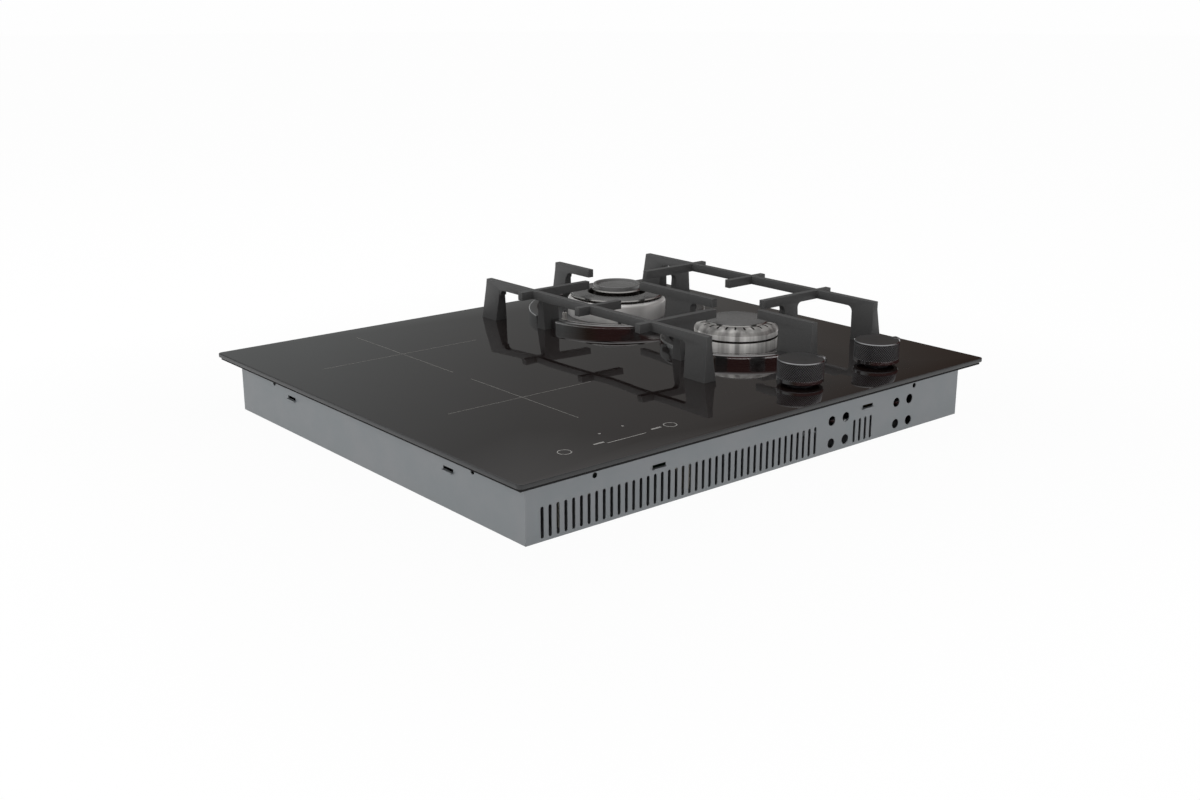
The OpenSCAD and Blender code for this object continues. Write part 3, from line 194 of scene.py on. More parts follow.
def clouded(tree, shader, grain_mm, dark, light, stretch=(1, 1, 1), detail=3, low=0.35, high=0.65):
    """Colour that drifts between two tones over grains of a given size. Returns the noise."""
    spot = add_node(tree, "ShaderNodeTexCoord")
    turned = add_node(tree, "ShaderNodeMapping", {"Scale": stretch}, {"Vector": (spot, "Object")})
    noise = add_node(tree, "ShaderNodeTexNoise", {"Scale": 1 / (grain_mm * mm), "Detail": detail},
                     {"Vector": (turned, 0)})
    ramp = add_node(tree, "ShaderNodeValToRGB", links={"Fac": (noise, "Fac")})
    ramp.color_ramp.elements[0].position = low
    ramp.color_ramp.elements[0].color = linear(dark)
    ramp.color_ramp.elements[1].position = high
    ramp.color_ramp.elements[1].color = linear(light)
    tree.links.new(ramp.outputs["Color"], shader.inputs["Base Color"])
    return noise


def bumped(tree, shader, noise, depth_mm):
    """Fine relief from the same noise, of a real depth."""
    bump = add_node(tree, "ShaderNodeBump", {"Distance": depth_mm * mm, "Strength": 1.0},
                    {"Height": (noise, "Fac")})
    tree.links.new(bump.outputs["Normal"], shader.inputs["Normal"])


def dress(material, *nodes):
    """Gives carried-over CAD nodes their material."""
    for name in nodes:
        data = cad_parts[name].data
        data.materials.clear()
        data.materials.append(material)


zinc_steel, zinc_tree, zinc_shader = new_material("zinc-coated steel sheet", "#8a8e91", 0.45, 0.3)
zinc_noise = clouded(zinc_tree, zinc_shader, 30, "#888d90", "#8d9093")
bumped(zinc_tree, zinc_shader, zinc_noise, 0.01)
dress(zinc_steel, "casing", "divider")


# Worktop seal and glue line: a strip of black closed-cell foam under the glass rim, and a
# bead of dark grey silicone that holds the glass on the casing's flange.
foam, foam_tree, foam_shader = new_material("closed-cell foam", "#171717", 0.95)
bumped(foam_tree, foam_shader, clouded(foam_tree, foam_shader, 0.8, "#111111", "#222222"), 0.2)
dress(foam, "worktop_seal")
silicone, silicone_tree, silicone_shader = new_material("dark silicone bead", "#26272a", 0.5)
clouded(silicone_tree, silicone_shader, 3, "#222326", "#2b2c2f")
dress(silicone, "glass_bond", "knob_gaskets")


# Coil tray, posts and screws: a pressed aluminium tray on steel posts below the induction
# zones. The rolled sheet shows fine streaks along its length.
rolled_aluminium, rolled_tree, rolled_shader = new_material("rolled aluminium", "#b9bbbd", 0.35, 1.0)
clouded(rolled_tree, rolled_shader, 2, "#a9abad", "#c4c6c8", stretch=(1, 0.05, 1))
dress(rolled_aluminium, "coil_tray", "heat_sink", "wok_pipe", "rapid_pipe")
plated_steel, plated_tree, plated_shader = new_material("bright plated steel", "#a8aaad", 0.25, 1.0)
clouded(plated_tree, plated_shader, 1.5, "#9b9da0", "#b4b6b8")
dress(plated_steel, "tray_posts", "screws", "tap_bonnets", "gas_ramp", "wok_spring", "rapid_spring",
      "wok_spindle", "rapid_spindle", "touch_springs", "thermocouples")


# Induction coils: flat spirals of varnished copper strand with a mica disc above and ferrite
# bars below. The turns show as fine rings 3 mm apart. Blender's rings run through 20 radians
# for each unit of their scale.
coil_x = -151
rear_coil_y = 133
front_coil_y = -72
turn_pitch = 3
wave_radians = 20


def winding(name, centre_x, centre_y, node):
    """Dresses a coil in copper whose turns run round its centre."""
    made, tree, shader = new_material(name, "#8a4a24", 0.35, 0.8)
    spot = add_node(tree, "ShaderNodeTexCoord")
    centred = add_node(tree, "ShaderNodeMapping", {"Location": (-centre_x * mm, -centre_y * mm, 0)},
                       {"Vector": (spot, "Object")})
    flat = add_node(tree, "ShaderNodeVectorMath", {"operation": "MULTIPLY", 1: (1, 1, 0)}, {0: (centred, 0)})
    rings = add_node(tree, "ShaderNodeTexWave", {"wave_type": "RINGS", "rings_direction": "SPHERICAL",
                                                 "Scale": 2 * math.pi / wave_radians / (turn_pitch * mm),
                                                 "Distortion": 0.4},
                     {"Vector": (flat, 0)})
    ramp = add_node(tree, "ShaderNodeValToRGB", links={"Fac": (rings, "Fac")})
    ramp.color_ramp.elements[0].color = linear("#4a2412")
    ramp.color_ramp.elements[1].color = linear("#a8602f")
    tree.links.new(ramp.outputs["Color"], shader.inputs["Base Color"])
    dress(made, node)


winding("varnished copper strand, rear", coil_x, rear_coil_y, "rear_coil")
winding("varnished copper strand, front", coil_x, front_coil_y, "front_coil")
mica, mica_tree, mica_shader = new_material("pressed mica", "#b8a98a", 0.6)
clouded(mica_tree, mica_shader, 4, "#a3936f", "#c9bda3")
dress(mica, "mica_discs")
ferrite, ferrite_tree, ferrite_shader = new_material("sintered ferrite", "#2a2a2d", 0.6)
bumped(ferrite_tree, ferrite_shader, clouded(ferrite_tree, ferrite_shader, 0.6, "#222225", "#353538"), 0.05)
dress(ferrite, "ferrite_bars")
ceramic, ceramic_tree, ceramic_shader = new_material("unglazed white ceramic", "#918f8b", 0.55)
bumped(ceramic_tree, ceramic_shader, clouded(ceramic_tree, ceramic_shader, 1.2, "#8a8884", "#989692"), 0.03)
dress(ceramic, "coil_sensors")


# Electronics: green circuit boards with black moulded parts, a fan, and light nylon holders
# and terminals. All of it sits in the dark of the casing and shows only through the slots.
board, board_tree, board_shader = new_material("solder-resist green board", "#1d4a2a", 0.35)
clouded(board_tree, board_shader, 5, "#173d22", "#2a6038", low=0.45, high=0.55)
dress(board, "power_board", "touch_board")
black_nylon, black_tree, black_shader = new_material("moulded black nylon", "#1c1c1e", 0.5)
bumped(black_tree, black_shader, clouded(black_tree, black_shader, 0.7, "#18181a", "#232325"), 0.03)
dress(black_nylon, "board_parts", "fan_housing", "fan_rotor", "cable_gland", "spark_generator")
pale_nylon, pale_tree, pale_shader = new_material("moulded pale nylon", "#c9c5b8", 0.5)
bumped(pale_tree, pale_shader, clouded(pale_tree, pale_shader, 0.7, "#c0bcae", "#d4d0c4"), 0.03)
dress(pale_nylon, "board_standoffs", "touch_holder", "terminal_block")


# Gas train: turned brass taps, plugs, injectors and inlet on a plated ramp, with soft
# aluminium pipes. Turning leaves fine rings on the brass; it is dull and warm.
brass, brass_tree, brass_shader = new_material("turned brass", "#b08a45", 0.3, 1.0)
brass_rings = clouded(brass_tree, brass_shader, 1.0, "#9c7838", "#c29b55", stretch=(0.2, 0.2, 3))
bumped(brass_tree, brass_shader, brass_rings, 0.02)
dress(brass, "gas_inlet", "wok_tap", "rapid_tap", "wok_plug", "rapid_plug", "injectors")
red_lead, red_tree, red_shader = new_material("red silicone lead", "#7e2f26", 0.6)
clouded(red_tree, red_shader, 2, "#742a22", "#8a372c")
dress(red_lead, "ignition_leads")
copper_lead, copper_tree, copper_shader = new_material("bare copper capillary", "#9a5a34", 0.3, 1.0)
clouded(copper_tree, copper_shader, 3, "#8a4e2c", "#a9683f")
dress(copper_lead, "thermocouple_leads")


# Burner cups: die-cast aluminium, clamped below the glass. Their decks show inside the trim
# dishes as satin grey rings with a fine cast grain.
cast_aluminium, cast_tree, cast_shader = new_material("die-cast aluminium", "#8f8f90", 0.38, 1.0)
bumped(cast_tree, cast_shader, clouded(cast_tree, cast_shader, 0.9, "#858586", "#9b9b9c"), 0.03)
dress(cast_aluminium, "wok_cup", "rapid_cup")


# Glass top: a 4 mm plate of black glass-ceramic with ground edges, cut by water jet for burners
# and spindles and glued on the casing's flange. It mirrors more strongly than bare glass, which
# is what its coat gives, and it ripples very slightly over about 90 mm.
glass_width = 590
glass_depth = 520
glass_low = 56.2
glass_high = 60.2
glass_corner = 5
glass_ground_edge = 0.7
burner_x = 135
wok_y = 128
rapid_y = -64
knob_xs = (79, 191)
knob_y = -205
wok_hole = 78
rapid_hole = 58
spindle_hole = 8
level_normal = 0.9
crease_angle = 32


def shaped(name, bm):
    """An object at the origin from a bmesh."""
    bmesh.ops.recalc_face_normals(bm, faces=bm.faces)
    data = bpy.data.meshes.new(name)
    bm.to_mesh(data)
    bm.free()
    made = bpy.data.objects.new(name, data)
    bpy.context.scene.collection.objects.link(made)
    return made


def cut_out(piece, cutter_bm):
    """Cuts the closed shapes of a bmesh out of a piece."""
    cutter = shaped("cutter", cutter_bm)
    step = piece.modifiers.new("cut", "BOOLEAN")
    step.operation = "DIFFERENCE"
    step.solver = "EXACT"
    step.object = cutter
    bpy.context.view_layer.update()
    whole = piece.evaluated_get(bpy.context.evaluated_depsgraph_get())
    piece.data = bpy.data.meshes.new_from_object(whole)
    piece.data.materials.clear()
    piece.modifiers.remove(step)
    bpy.data.objects.remove(cutter)


def finished(piece, materials, body, nodes=()):
    """Gives a piece its materials, soft shading up to a crease and its CAD body, and hides the CAD nodes that
    it replaces.
    """
    for material in materials:
        piece.data.materials.append(material)
    piece.data.shade_smooth()
    piece.data.set_sharp_from_angle(angle=math.radians(crease_angle))
    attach(piece, body)
    if nodes:
        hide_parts(*nodes)


def block(bm, centre, size, turn=0.0):
    """Adds a box by its centre and size in mm, turned about the upright axis. Returns its verts."""
    verts = bmesh.ops.create_cube(bm, size=mm)["verts"]
    bmesh.ops.scale(bm, verts=verts, vec=size)
    bmesh.ops.rotate(bm, verts=verts, cent=(0, 0, 0), matrix=Matrix.Rotation(turn, 3, "Z"))
    bmesh.ops.translate(bm, verts=verts, vec=Vector(centre) * mm)
    return verts


def drum(bm, centre, radius, height, segments=96):
    """Adds an upright closed cylinder by its centre and sizes in mm."""
    bmesh.ops.create_cone(bm, cap_ends=True, segments=segments, radius1=radius * mm, radius2=radius * mm,
                          depth=height * mm, matrix=Matrix.Translation(Vector(centre) * mm))


def edges_where(bm, test):
    """The edges whose two ends both pass a test."""
    return [edge for edge in bm.edges if all(test(vert.co) for vert in edge.verts)]


black_glass, glass_tree, glass_shader = new_material("black glass-ceramic", "#16100f", 0.03)
glass_ripple = clouded(glass_tree, glass_shader, 90, "#150f0e", "#171110")
bumped(glass_tree, glass_shader, glass_ripple, 0.01)
glass_shader.inputs["Coat Weight"].default_value = 1
glass_shader.inputs["Coat IOR"].default_value = 2.2
glass_shader.inputs["Coat Roughness"].default_value = 0.03
ground_glass, ground_tree, ground_shader = new_material("ground glass edge", "#2f3031", 0.4)
bumped(ground_tree, ground_shader, clouded(ground_tree, ground_shader, 0.8, "#2c2d2e", "#333334"), 0.02)
glass_thick = glass_high - glass_low
glass_mid = (glass_high + glass_low) / 2
glass_bm = bmesh.new()
block(glass_bm, (0, 0, glass_mid), (glass_width, glass_depth, glass_thick))
upright = [edge for edge in glass_bm.edges if abs(edge.verts[0].co.z - edge.verts[1].co.z) > mm]
bmesh.ops.bevel(glass_bm, geom=upright, affect="EDGES", offset=glass_corner * mm, segments=8, profile=0.5,
                material=-1)
rims = edges_where(glass_bm, lambda co: co.z > glass_mid * mm)
rims += edges_where(glass_bm, lambda co: co.z < glass_mid * mm)
bmesh.ops.bevel(glass_bm, geom=rims, affect="EDGES", offset=glass_ground_edge * mm, segments=3, profile=0.5,
                material=-1)
glass = shaped("glass_plate", glass_bm)
holes_bm = bmesh.new()
drum(holes_bm, (burner_x, wok_y, glass_mid), wok_hole, 3 * glass_thick, segments=128)
drum(holes_bm, (burner_x, rapid_y, glass_mid), rapid_hole, 3 * glass_thick, segments=128)
for knob_x in knob_xs:
    drum(holes_bm, (knob_x, knob_y, glass_mid), spindle_hole, 3 * glass_thick, segments=48)
cut_out(glass, holes_bm)
for face in glass.data.polygons:
    face.material_index = 1 if abs(face.normal.z) < level_normal else 0
finished(glass, [black_glass, ground_glass], "hob", ["glass_top"])


# Marks fired on the glass in grey and pale ceramic ink: a cross at the centre of each induction
# zone and the plain marks of the touch field. They stand only a few hundredths of a millimetre.
ink_high = 0.03
cross_line = 0.9
zone_crosses = [(coil_x, rear_coil_y, 92), (coil_x, -71.5, 82)]
touch_rings = [(-219, -219.5), (-103, -220.4)]
touch_bars = [(-183, -220), (-119, -220)]
touch_dots = [(-166, -200.5), (-137, -197)]
slider_centre = (-155.5, -224)
slider_size = (43, 0.9)
touch_bar_size = (11, 2.2)
ring_radius = 6.2
ring_line = 0.8
dot_radius = 1.2

ink_z = glass_high + ink_high / 2
cross_bm = bmesh.new()
for x, y, arm in zone_crosses:
    block(cross_bm, (x, y, ink_z), (2 * arm, cross_line, ink_high))
    half = (arm - cross_line / 2) / 2
    for side in (-1, 1):
        block(cross_bm, (x, y + side * (cross_line / 2 + half), ink_z), (cross_line, 2 * half, ink_high))
grey_ink, grey_ink_tree, grey_ink_shader = new_material("grey ceramic ink", "#646260", 0.4)
clouded(grey_ink_tree, grey_ink_shader, 0.6, "#5e5c5a", "#6a6866")
zone_marks = shaped("zone_marks", cross_bm)
finished(zone_marks, [grey_ink], "hob")

touch_bm = bmesh.new()
for x, y in touch_bars:
    block(touch_bm, (x, y, ink_z), (*touch_bar_size, ink_high))
for x, y in touch_dots:
    drum(touch_bm, (x, y, ink_z), dot_radius, ink_high, segments=24)
block(touch_bm, (*slider_centre, ink_z), (*slider_size, ink_high))
pale_ink, pale_ink_tree, pale_ink_shader = new_material("pale ceramic ink", "#8e8c8a", 0.4)
clouded(pale_ink_tree, pale_ink_shader, 0.6, "#868482", "#969492")
touch_marks = shaped("touch_marks", touch_bm)
touch_ring_bm = bmesh.new()
touch_ring_holes = bmesh.new()
for x, y in touch_rings:
    drum(touch_ring_bm, (x, y, ink_z), ring_radius, ink_high, segments=48)
    drum(touch_ring_holes, (x, y, ink_z), ring_radius - ring_line, 3 * ink_high, segments=48)
touch_ring_marks = shaped("touch_rings", touch_ring_bm)
cut_out(touch_ring_marks, touch_ring_holes)
finished(touch_marks, [pale_ink], "hob")
finished(touch_ring_marks, [pale_ink], "hob")


# Trim dishes: one polished stainless ring round each burner, drawn from 1.2 mm sheet with a
# flat rim, soft edges and four notches for the feet of the supports. It rests on the glass.
dish_high = 10.5
dish_sheet = 1.2
dish_rim = 11
dish_upright = 7
dish_lean = 0.4
dish_edge = 1.9
dish_floor_gap = 1.5
foot_thick = 13
notch_gap = 1
cutter_spare = 2
wok_dish_radius = 101
rapid_dish_radius = 80
wok_notches = ((12, 0), (12, 0), (12, 0), (14, 0))
rapid_notches = ((15, -4.3), (14, 0), (15, 0), (17, 0))


def softened(corners, steps=4):
    """A closed outline whose corners are rounded; each corner is (radius, height, rounding)."""
    points = []
    for i, (x, z, rounding) in enumerate(corners):
        here = Vector((x, z))
        if not rounding:
            points.append(here)
            continue
        back = (Vector(corners[i - 1][:2]) - here).normalized()
        ahead = (Vector(corners[(i + 1) % len(corners)][:2]) - here).normalized()
        half = back.angle(ahead) / 2
        centre = here + (back + ahead).normalized() * rounding / math.sin(half)
        start = here + back * rounding / math.tan(half) - centre
        end = here + ahead * rounding / math.tan(half) - centre
        for k in range(steps + 1):
            mixed = (start.lerp(end, k / steps)).normalized()
            points.append(centre + mixed * rounding)
    return points


def spun(outline, place, steps=160):
    """A turned solid: an outline of (radius, height) in mm spun round an upright axis."""
    bm = bmesh.new()
    ring = [bm.verts.new((r * mm, 0, z * mm)) for r, z in outline]
    first = 0 if outline[0][0] > 0 else 1
    edges = [bm.edges.new((ring[i - 1], ring[i])) for i in range(first, len(ring))]
    bmesh.ops.spin(bm, geom=ring + edges, cent=(0, 0, 0), axis=(0, 0, 1), angle=2 * math.pi, steps=steps,
                   use_merge=True)
    bmesh.ops.remove_doubles(bm, verts=bm.verts, dist=0.001 * mm)
    bmesh.ops.translate(bm, verts=bm.verts, vec=Vector(place) * mm)
    return bm


def dish(name, y, radius, hole, notches, node, material):
    """A trim dish; each notch is (its depth behind the leg, its shift along the rim) in mm."""
    inner = radius - dish_rim
    under = dish_high - dish_sheet
    outline = softened([
        (radius, 0, 0), (radius, dish_upright, 1), (radius - dish_lean, dish_high, dish_edge),
        (inner + dish_lean, dish_high, dish_edge), (inner, dish_sheet, 0),
        (hole + dish_floor_gap, dish_sheet, 0), (hole + dish_floor_gap, 0, 0), (inner + dish_sheet, 0, 0),
        (inner + dish_lean + dish_sheet, under, 0), (radius - dish_lean - dish_sheet, under, 0),
        (radius - dish_sheet, dish_upright, 0), (radius - dish_sheet, 0, 0)])
    piece = shaped(name, spun(outline, (burner_x, y, glass_high), steps=192))
    notch_bm = bmesh.new()
    for i, (leg_in, shift) in enumerate(notches):
        turn = i * math.pi / 2
        depth = leg_in + notch_gap
        reach = radius - depth / 2 + cutter_spare / 2
        centre = (burner_x + reach * math.cos(turn), y + reach * math.sin(turn) + shift,
                  glass_high + dish_high / 2)
        block(notch_bm, centre, (depth + cutter_spare, foot_thick + 2 * notch_gap, 2 * dish_high), turn)
    cut_out(piece, notch_bm)
    finished(piece, [material], "hob", [node])


polished_steel, polished_tree, polished_shader = new_material("polished stainless", "#b9b8b8", 0.14, 1.0)
polished_grain = clouded(polished_tree, polished_shader, 1.5, "#b4b3b3", "#bfbebe")
bumped(polished_tree, polished_shader, polished_grain, 0.004)
dish("wok_trim", wok_y, wok_dish_radius, wok_hole, wok_notches, "wok_dish", polished_steel)
dish("rapid_trim", rapid_y, rapid_dish_radius, rapid_hole, rapid_notches, "rapid_dish", polished_steel)


# Wok crown: a turned aluminium casting whose flame slots open in a recessed band at the top of
# its wall and in a tower in the middle. Two enamelled caps lie on it: a ring and a hollow disc.
# The marks of finishing on its wall are too fine to show and are drawn as broad upright streaks.
deck_high = 2
crown_floor = 8
crown_bore = 12
spigot_deep = 5
spigot_thick = 3.5
wok_spigot = 36.6
wok_crown_radius = 56
wok_crown_high = 25.5
wok_wall = 6
wok_band_in = 4
wok_band_high = 2.5
wok_inner_wall = (33, 37)
wok_gap_floor = 10
wok_tower = (22, 27)
wok_tower_neck = 23.5
wok_tower_step = 25
wok_shoulder = 4
wok_tower_high = 30.5
wok_port_wide = 1.6
tower_port_deep = 4
wok_port_count = 40
wok_centre_port_count = 18
turned_edge = 0.5
face_slack = 0.1


def ports(bm, count, wide, inner, outer, top, deep, y):
    """Adds radial cutters for flame slots of a depth between two radii, open at the top."""
    for i in range(count):
        turn = (i + 0.5) * 2 * math.pi / count
        reach = (inner + outer) / 2
        centre = (burner_x + reach * math.cos(turn), y + reach * math.sin(turn), glass_high + top)
        block(bm, centre, (outer - inner + cutter_spare, wide, 2 * deep), turn)


satin_aluminium, satin_tree, satin_shader = new_material("satin cast aluminium", "#e4e3e1", 0.28, 0.35)
satin_streaks = clouded(satin_tree, satin_shader, 28, "#c6c4c2", "#f2f0ee", stretch=(1, 1, 0.03), detail=1)
bumped(satin_tree, satin_shader, satin_streaks, 0.1)
# Painted shade: a dark aluminium for the crowns' hollows, slots and groove, where shade falls.
hollow_shade_aluminium, hollow_shade_tree, hollow_shade_shader = new_material("aluminium with painted shade in its hollows", "#2c2826", 0.6, 0.4)
clouded(hollow_shade_tree, hollow_shade_shader, 2, "#221f1d", "#3a3532")
wok_outline = softened([
    (crown_bore, deck_high, 0), (wok_spigot - spigot_thick, deck_high, 0),
    (wok_spigot - spigot_thick, deck_high - spigot_deep, 0), (wok_spigot, deck_high - spigot_deep, 0),
    (wok_spigot, deck_high, 0), (wok_crown_radius, deck_high, turned_edge),
    (wok_crown_radius, wok_crown_high - wok_band_high, wok_shoulder),
    (wok_crown_radius - wok_band_in, wok_crown_high - wok_band_high, 0),
    (wok_crown_radius - wok_band_in, wok_crown_high, 0), (wok_crown_radius - wok_wall, wok_crown_high, 0),
    (wok_crown_radius - wok_wall, crown_floor, 0), (wok_inner_wall[1], crown_floor, 0),
    (wok_inner_wall[1], wok_crown_high, 0), (wok_inner_wall[0], wok_crown_high, 0),
    (wok_inner_wall[0], wok_gap_floor, 0), (wok_tower[1], wok_gap_floor, 0),
    (wok_tower[1], wok_tower_step, turned_edge), (wok_tower_neck, wok_tower_step, 0),
    (wok_tower_neck, wok_tower_high, 0), (wok_tower[0], wok_tower_high, 0),
    (wok_tower[0], crown_floor, 0), (crown_bore, crown_floor, 0)])


def paint_hollow_shade(piece, y, inside, above):
    """Gives a crown's faces inside a radius and above a height its second material, a dark aluminium as
    painted shade in its hollows.
    """
    for face in piece.data.polygons:
        place = face.center / mm - Vector((burner_x, y, glass_high))
        face.material_index = 1 if place.xy.length < inside and place.z > above else 0


wok_crown = shaped("wok_burner_crown", spun(wok_outline, (burner_x, wok_y, glass_high)))
wok_port_bm = bmesh.new()
ports(wok_port_bm, wok_port_count, wok_port_wide, wok_crown_radius - wok_wall,
      wok_crown_radius - wok_band_in, wok_crown_high, wok_band_high, wok_y)
ports(wok_port_bm, wok_centre_port_count, wok_port_wide, *wok_tower, wok_tower_high, tower_port_deep, wok_y)
cut_out(wok_crown, wok_port_bm)
paint_hollow_shade(wok_crown, wok_y, wok_crown_radius - wok_band_in + face_slack, wok_gap_floor - face_slack)
finished(wok_crown, [satin_aluminium, hollow_shade_aluminium], "wok_crown_body", ["wok_crown"])

cap_lip = 2
cap_fit = 0.4
ring_cap_radius = 53
ring_cap_high = 2.5
ring_cap_edge = 0.9
rim_high = 0.4
rim_step = 1.1
ring_cap_outline = softened([
    (wok_inner_wall[0], 0, 0), (wok_inner_wall[1] + cap_fit, 0, 0),
    (wok_inner_wall[1] + cap_fit, -cap_lip, 0), (wok_crown_radius - wok_wall - cap_fit, -cap_lip, 0),
    (wok_crown_radius - wok_wall - cap_fit, 0, 0), (ring_cap_radius, 0, 0),
    (ring_cap_radius, rim_high, 0), (ring_cap_radius - rim_step, rim_high + rim_step, 0),
    (ring_cap_radius - rim_step, ring_cap_high, ring_cap_edge),
    (wok_inner_wall[0], ring_cap_high, ring_cap_edge)])
grey_enamel, grey_enamel_tree, grey_enamel_shader = new_material("grey enamel", "#626160", 0.18)
grey_speckle = clouded(grey_enamel_tree, grey_enamel_shader, 1.1, "#5d5d5c", "#676666")
bumped(grey_enamel_tree, grey_enamel_shader, grey_speckle, 0.01)
bare_rim, bare_tree, bare_shader = new_material("bare polished rim", "#d2d0cd", 0.2, 1.0)
clouded(bare_tree, bare_shader, 1.5, "#cbc9c6", "#d8d6d3")


def cap(name, outline, place, radius, body, node):
    """A turned cap: enamel all over but for a bright bare rim round its foot."""
    bm = spun(outline, place)
    for face in bm.faces:
        middle = (face.calc_center_median() - Vector(place) * mm) / mm
        outside = middle.xy.length > radius - rim_step - face_slack
        at_rim = outside and 0 < middle.z < rim_high + rim_step
        face.material_index = 1 if at_rim else 0
    finished(shaped(name, bm), [grey_enamel, bare_rim], body, [node])


cap("wok_burner_ring_cap", ring_cap_outline, (burner_x, wok_y, glass_high + wok_crown_high), ring_cap_radius,
    "wok_ring_cap_body", "wok_ring_cap")

centre_cap_radius = 28
centre_cap_high = 6.5
centre_cap_edge = 0.9
centre_recess_radius = 22.5
centre_recess_deep = 3
centre_cap_floor = centre_cap_high - centre_recess_deep
centre_cap_outline = softened([
    (0, -cap_lip, 0), (wok_tower[0] - cap_fit, -cap_lip, 0), (wok_tower[0] - cap_fit, 0, 0),
    (centre_cap_radius, 0, 0), (centre_cap_radius, rim_high, 0),
    (centre_cap_radius - rim_step, rim_high + rim_step, 0),
    (centre_cap_radius - rim_step, centre_cap_high, centre_cap_edge),
    (centre_recess_radius + 1, centre_cap_high, 1), (centre_recess_radius, centre_cap_floor, 0.8),
    (0, centre_cap_floor, 0)])
cap("wok_burner_centre_cap", centre_cap_outline, (burner_x, wok_y, glass_high + wok_tower_high),
    centre_cap_radius, "wok_centre_cap_body", "wok_centre_cap")


# Rapid crown: one turned aluminium casting with a deep groove round its wall and a shoulder that
# leads up to the flame slots, and a flat enamelled cap that lies in its mouth. Its streaks, too,
# are drawn broader than the real marks.
rapid_spigot = 26.6
rapid_crown_radius = 44
groove_z = 13.3
groove_high = 2.2
groove_deep = 2.5
shoulder_low = 20.5
shoulder_steps = ((42, 24.2), (38.6, 26.9))
shoulder_round = 3
shoulder_top = 35
rapid_mouth = 26
rapid_crown_high = 27.7
rapid_port_count = 25
rapid_port_outer = 38
rapid_port_wide = 2
rapid_port_deep = 2.5
slot_normal = 0.1
groove_slack = 0.3
groove_zone = (groove_z - 1, shoulder_low - 3)
shoulder_start = shoulder_low + 0.2
rapid_outline = softened([
    (crown_bore, deck_high, 0), (rapid_spigot - spigot_thick, deck_high, 0),
    (rapid_spigot - spigot_thick, deck_high - spigot_deep, 0), (rapid_spigot, deck_high - spigot_deep, 0),
    (rapid_spigot, deck_high, 0), (rapid_crown_radius, deck_high, turned_edge),
    (rapid_crown_radius, groove_z, 0.2), (rapid_crown_radius - groove_deep, groove_z, 0),
    (rapid_crown_radius - groove_deep, groove_z + groove_high, 0),
    (rapid_crown_radius, groove_z + groove_high, 0.2), (rapid_crown_radius, shoulder_low, 1.5),
    *[(*step, shoulder_round) for step in shoulder_steps],
    (shoulder_top, rapid_crown_high, 0.4), (rapid_mouth, rapid_crown_high, 0.4),
    (rapid_mouth, crown_floor, 0), (crown_bore, crown_floor, 0)])
turned_aluminium, turned_tree, turned_shader = new_material("turned aluminium", "#dddbd8", 0.3, 0.25)
turned_streaks = clouded(turned_tree, turned_shader, 9, "#a5a3a1", "#fbf9f6", stretch=(1, 1, 0.02), detail=2)
bumped(turned_tree, turned_shader, turned_streaks, 0.12)
# Painted shade: the upward-facing shoulder gets a darker copy of the wall's aluminium, a little rougher.
shoulder_shade_aluminium, shoulder_shade_tree, shoulder_shade_shader = new_material("brushed aluminium with painted shade", "#a9a7a5", 0.36, 0.5)
shoulder_shade_streaks = clouded(shoulder_shade_tree, shoulder_shade_shader, 9, "#7f7d7b", "#c4c2bf", stretch=(1, 1, 0.02),
                          detail=2)
bumped(shoulder_shade_tree, shoulder_shade_shader, shoulder_shade_streaks, 0.12)
rapid_crown = shaped("rapid_burner_crown", spun(rapid_outline, (burner_x, rapid_y, glass_high)))
rapid_port_bm = bmesh.new()
ports(rapid_port_bm, rapid_port_count, rapid_port_wide, rapid_mouth, rapid_port_outer, rapid_crown_high,
      rapid_port_deep, rapid_y)
cut_out(rapid_crown, rapid_port_bm)
turned_wall, shaded_shoulder, painted_shade_hollow = range(3)
for face in rapid_crown.data.polygons:
    place = face.center / mm - Vector((burner_x, rapid_y, glass_high))
    as_high = place.z > rapid_crown_high - rapid_port_deep - face_slack
    in_slot = as_high and abs(face.normal.z) < slot_normal
    as_deep = place.xy.length < rapid_crown_radius - groove_slack
    in_groove = as_deep and groove_zone[0] < place.z < groove_zone[1]
    # Painted shade: the slots, the groove and the mouth take the dark aluminium.
    if in_slot or in_groove or place.xy.length < rapid_mouth:
        face.material_index = painted_shade_hollow
    # Painted shade: the shoulder takes the darker copy of the wall's aluminium.
    elif place.z > shoulder_start:
        face.material_index = shaded_shoulder
    else:
        face.material_index = turned_wall
finished(rapid_crown, [turned_aluminium, shoulder_shade_aluminium, hollow_shade_aluminium], "rapid_crown_body",
         ["rapid_crown"])

rapid_cap_radius = 32.5
rapid_cap_high = 2.6
rapid_cap_edge = 0.7
rapid_cap_outline = softened([
    (0, -cap_lip, 0), (rapid_mouth - cap_fit, -cap_lip, 0), (rapid_mouth - cap_fit, 0, 0),
    (rapid_cap_radius, 0, 0), (rapid_cap_radius, rim_high, 0),
    (rapid_cap_radius - rim_step, rim_high + rim_step, 0),
    (rapid_cap_radius - rim_step, rapid_cap_high, rapid_cap_edge), (0, rapid_cap_high, 0)])
cap("rapid_burner_cap", rapid_cap_outline, (burner_x, rapid_y, glass_high + rapid_crown_high),
    rapid_cap_radius, "rapid_cap_body", "rapid_cap")


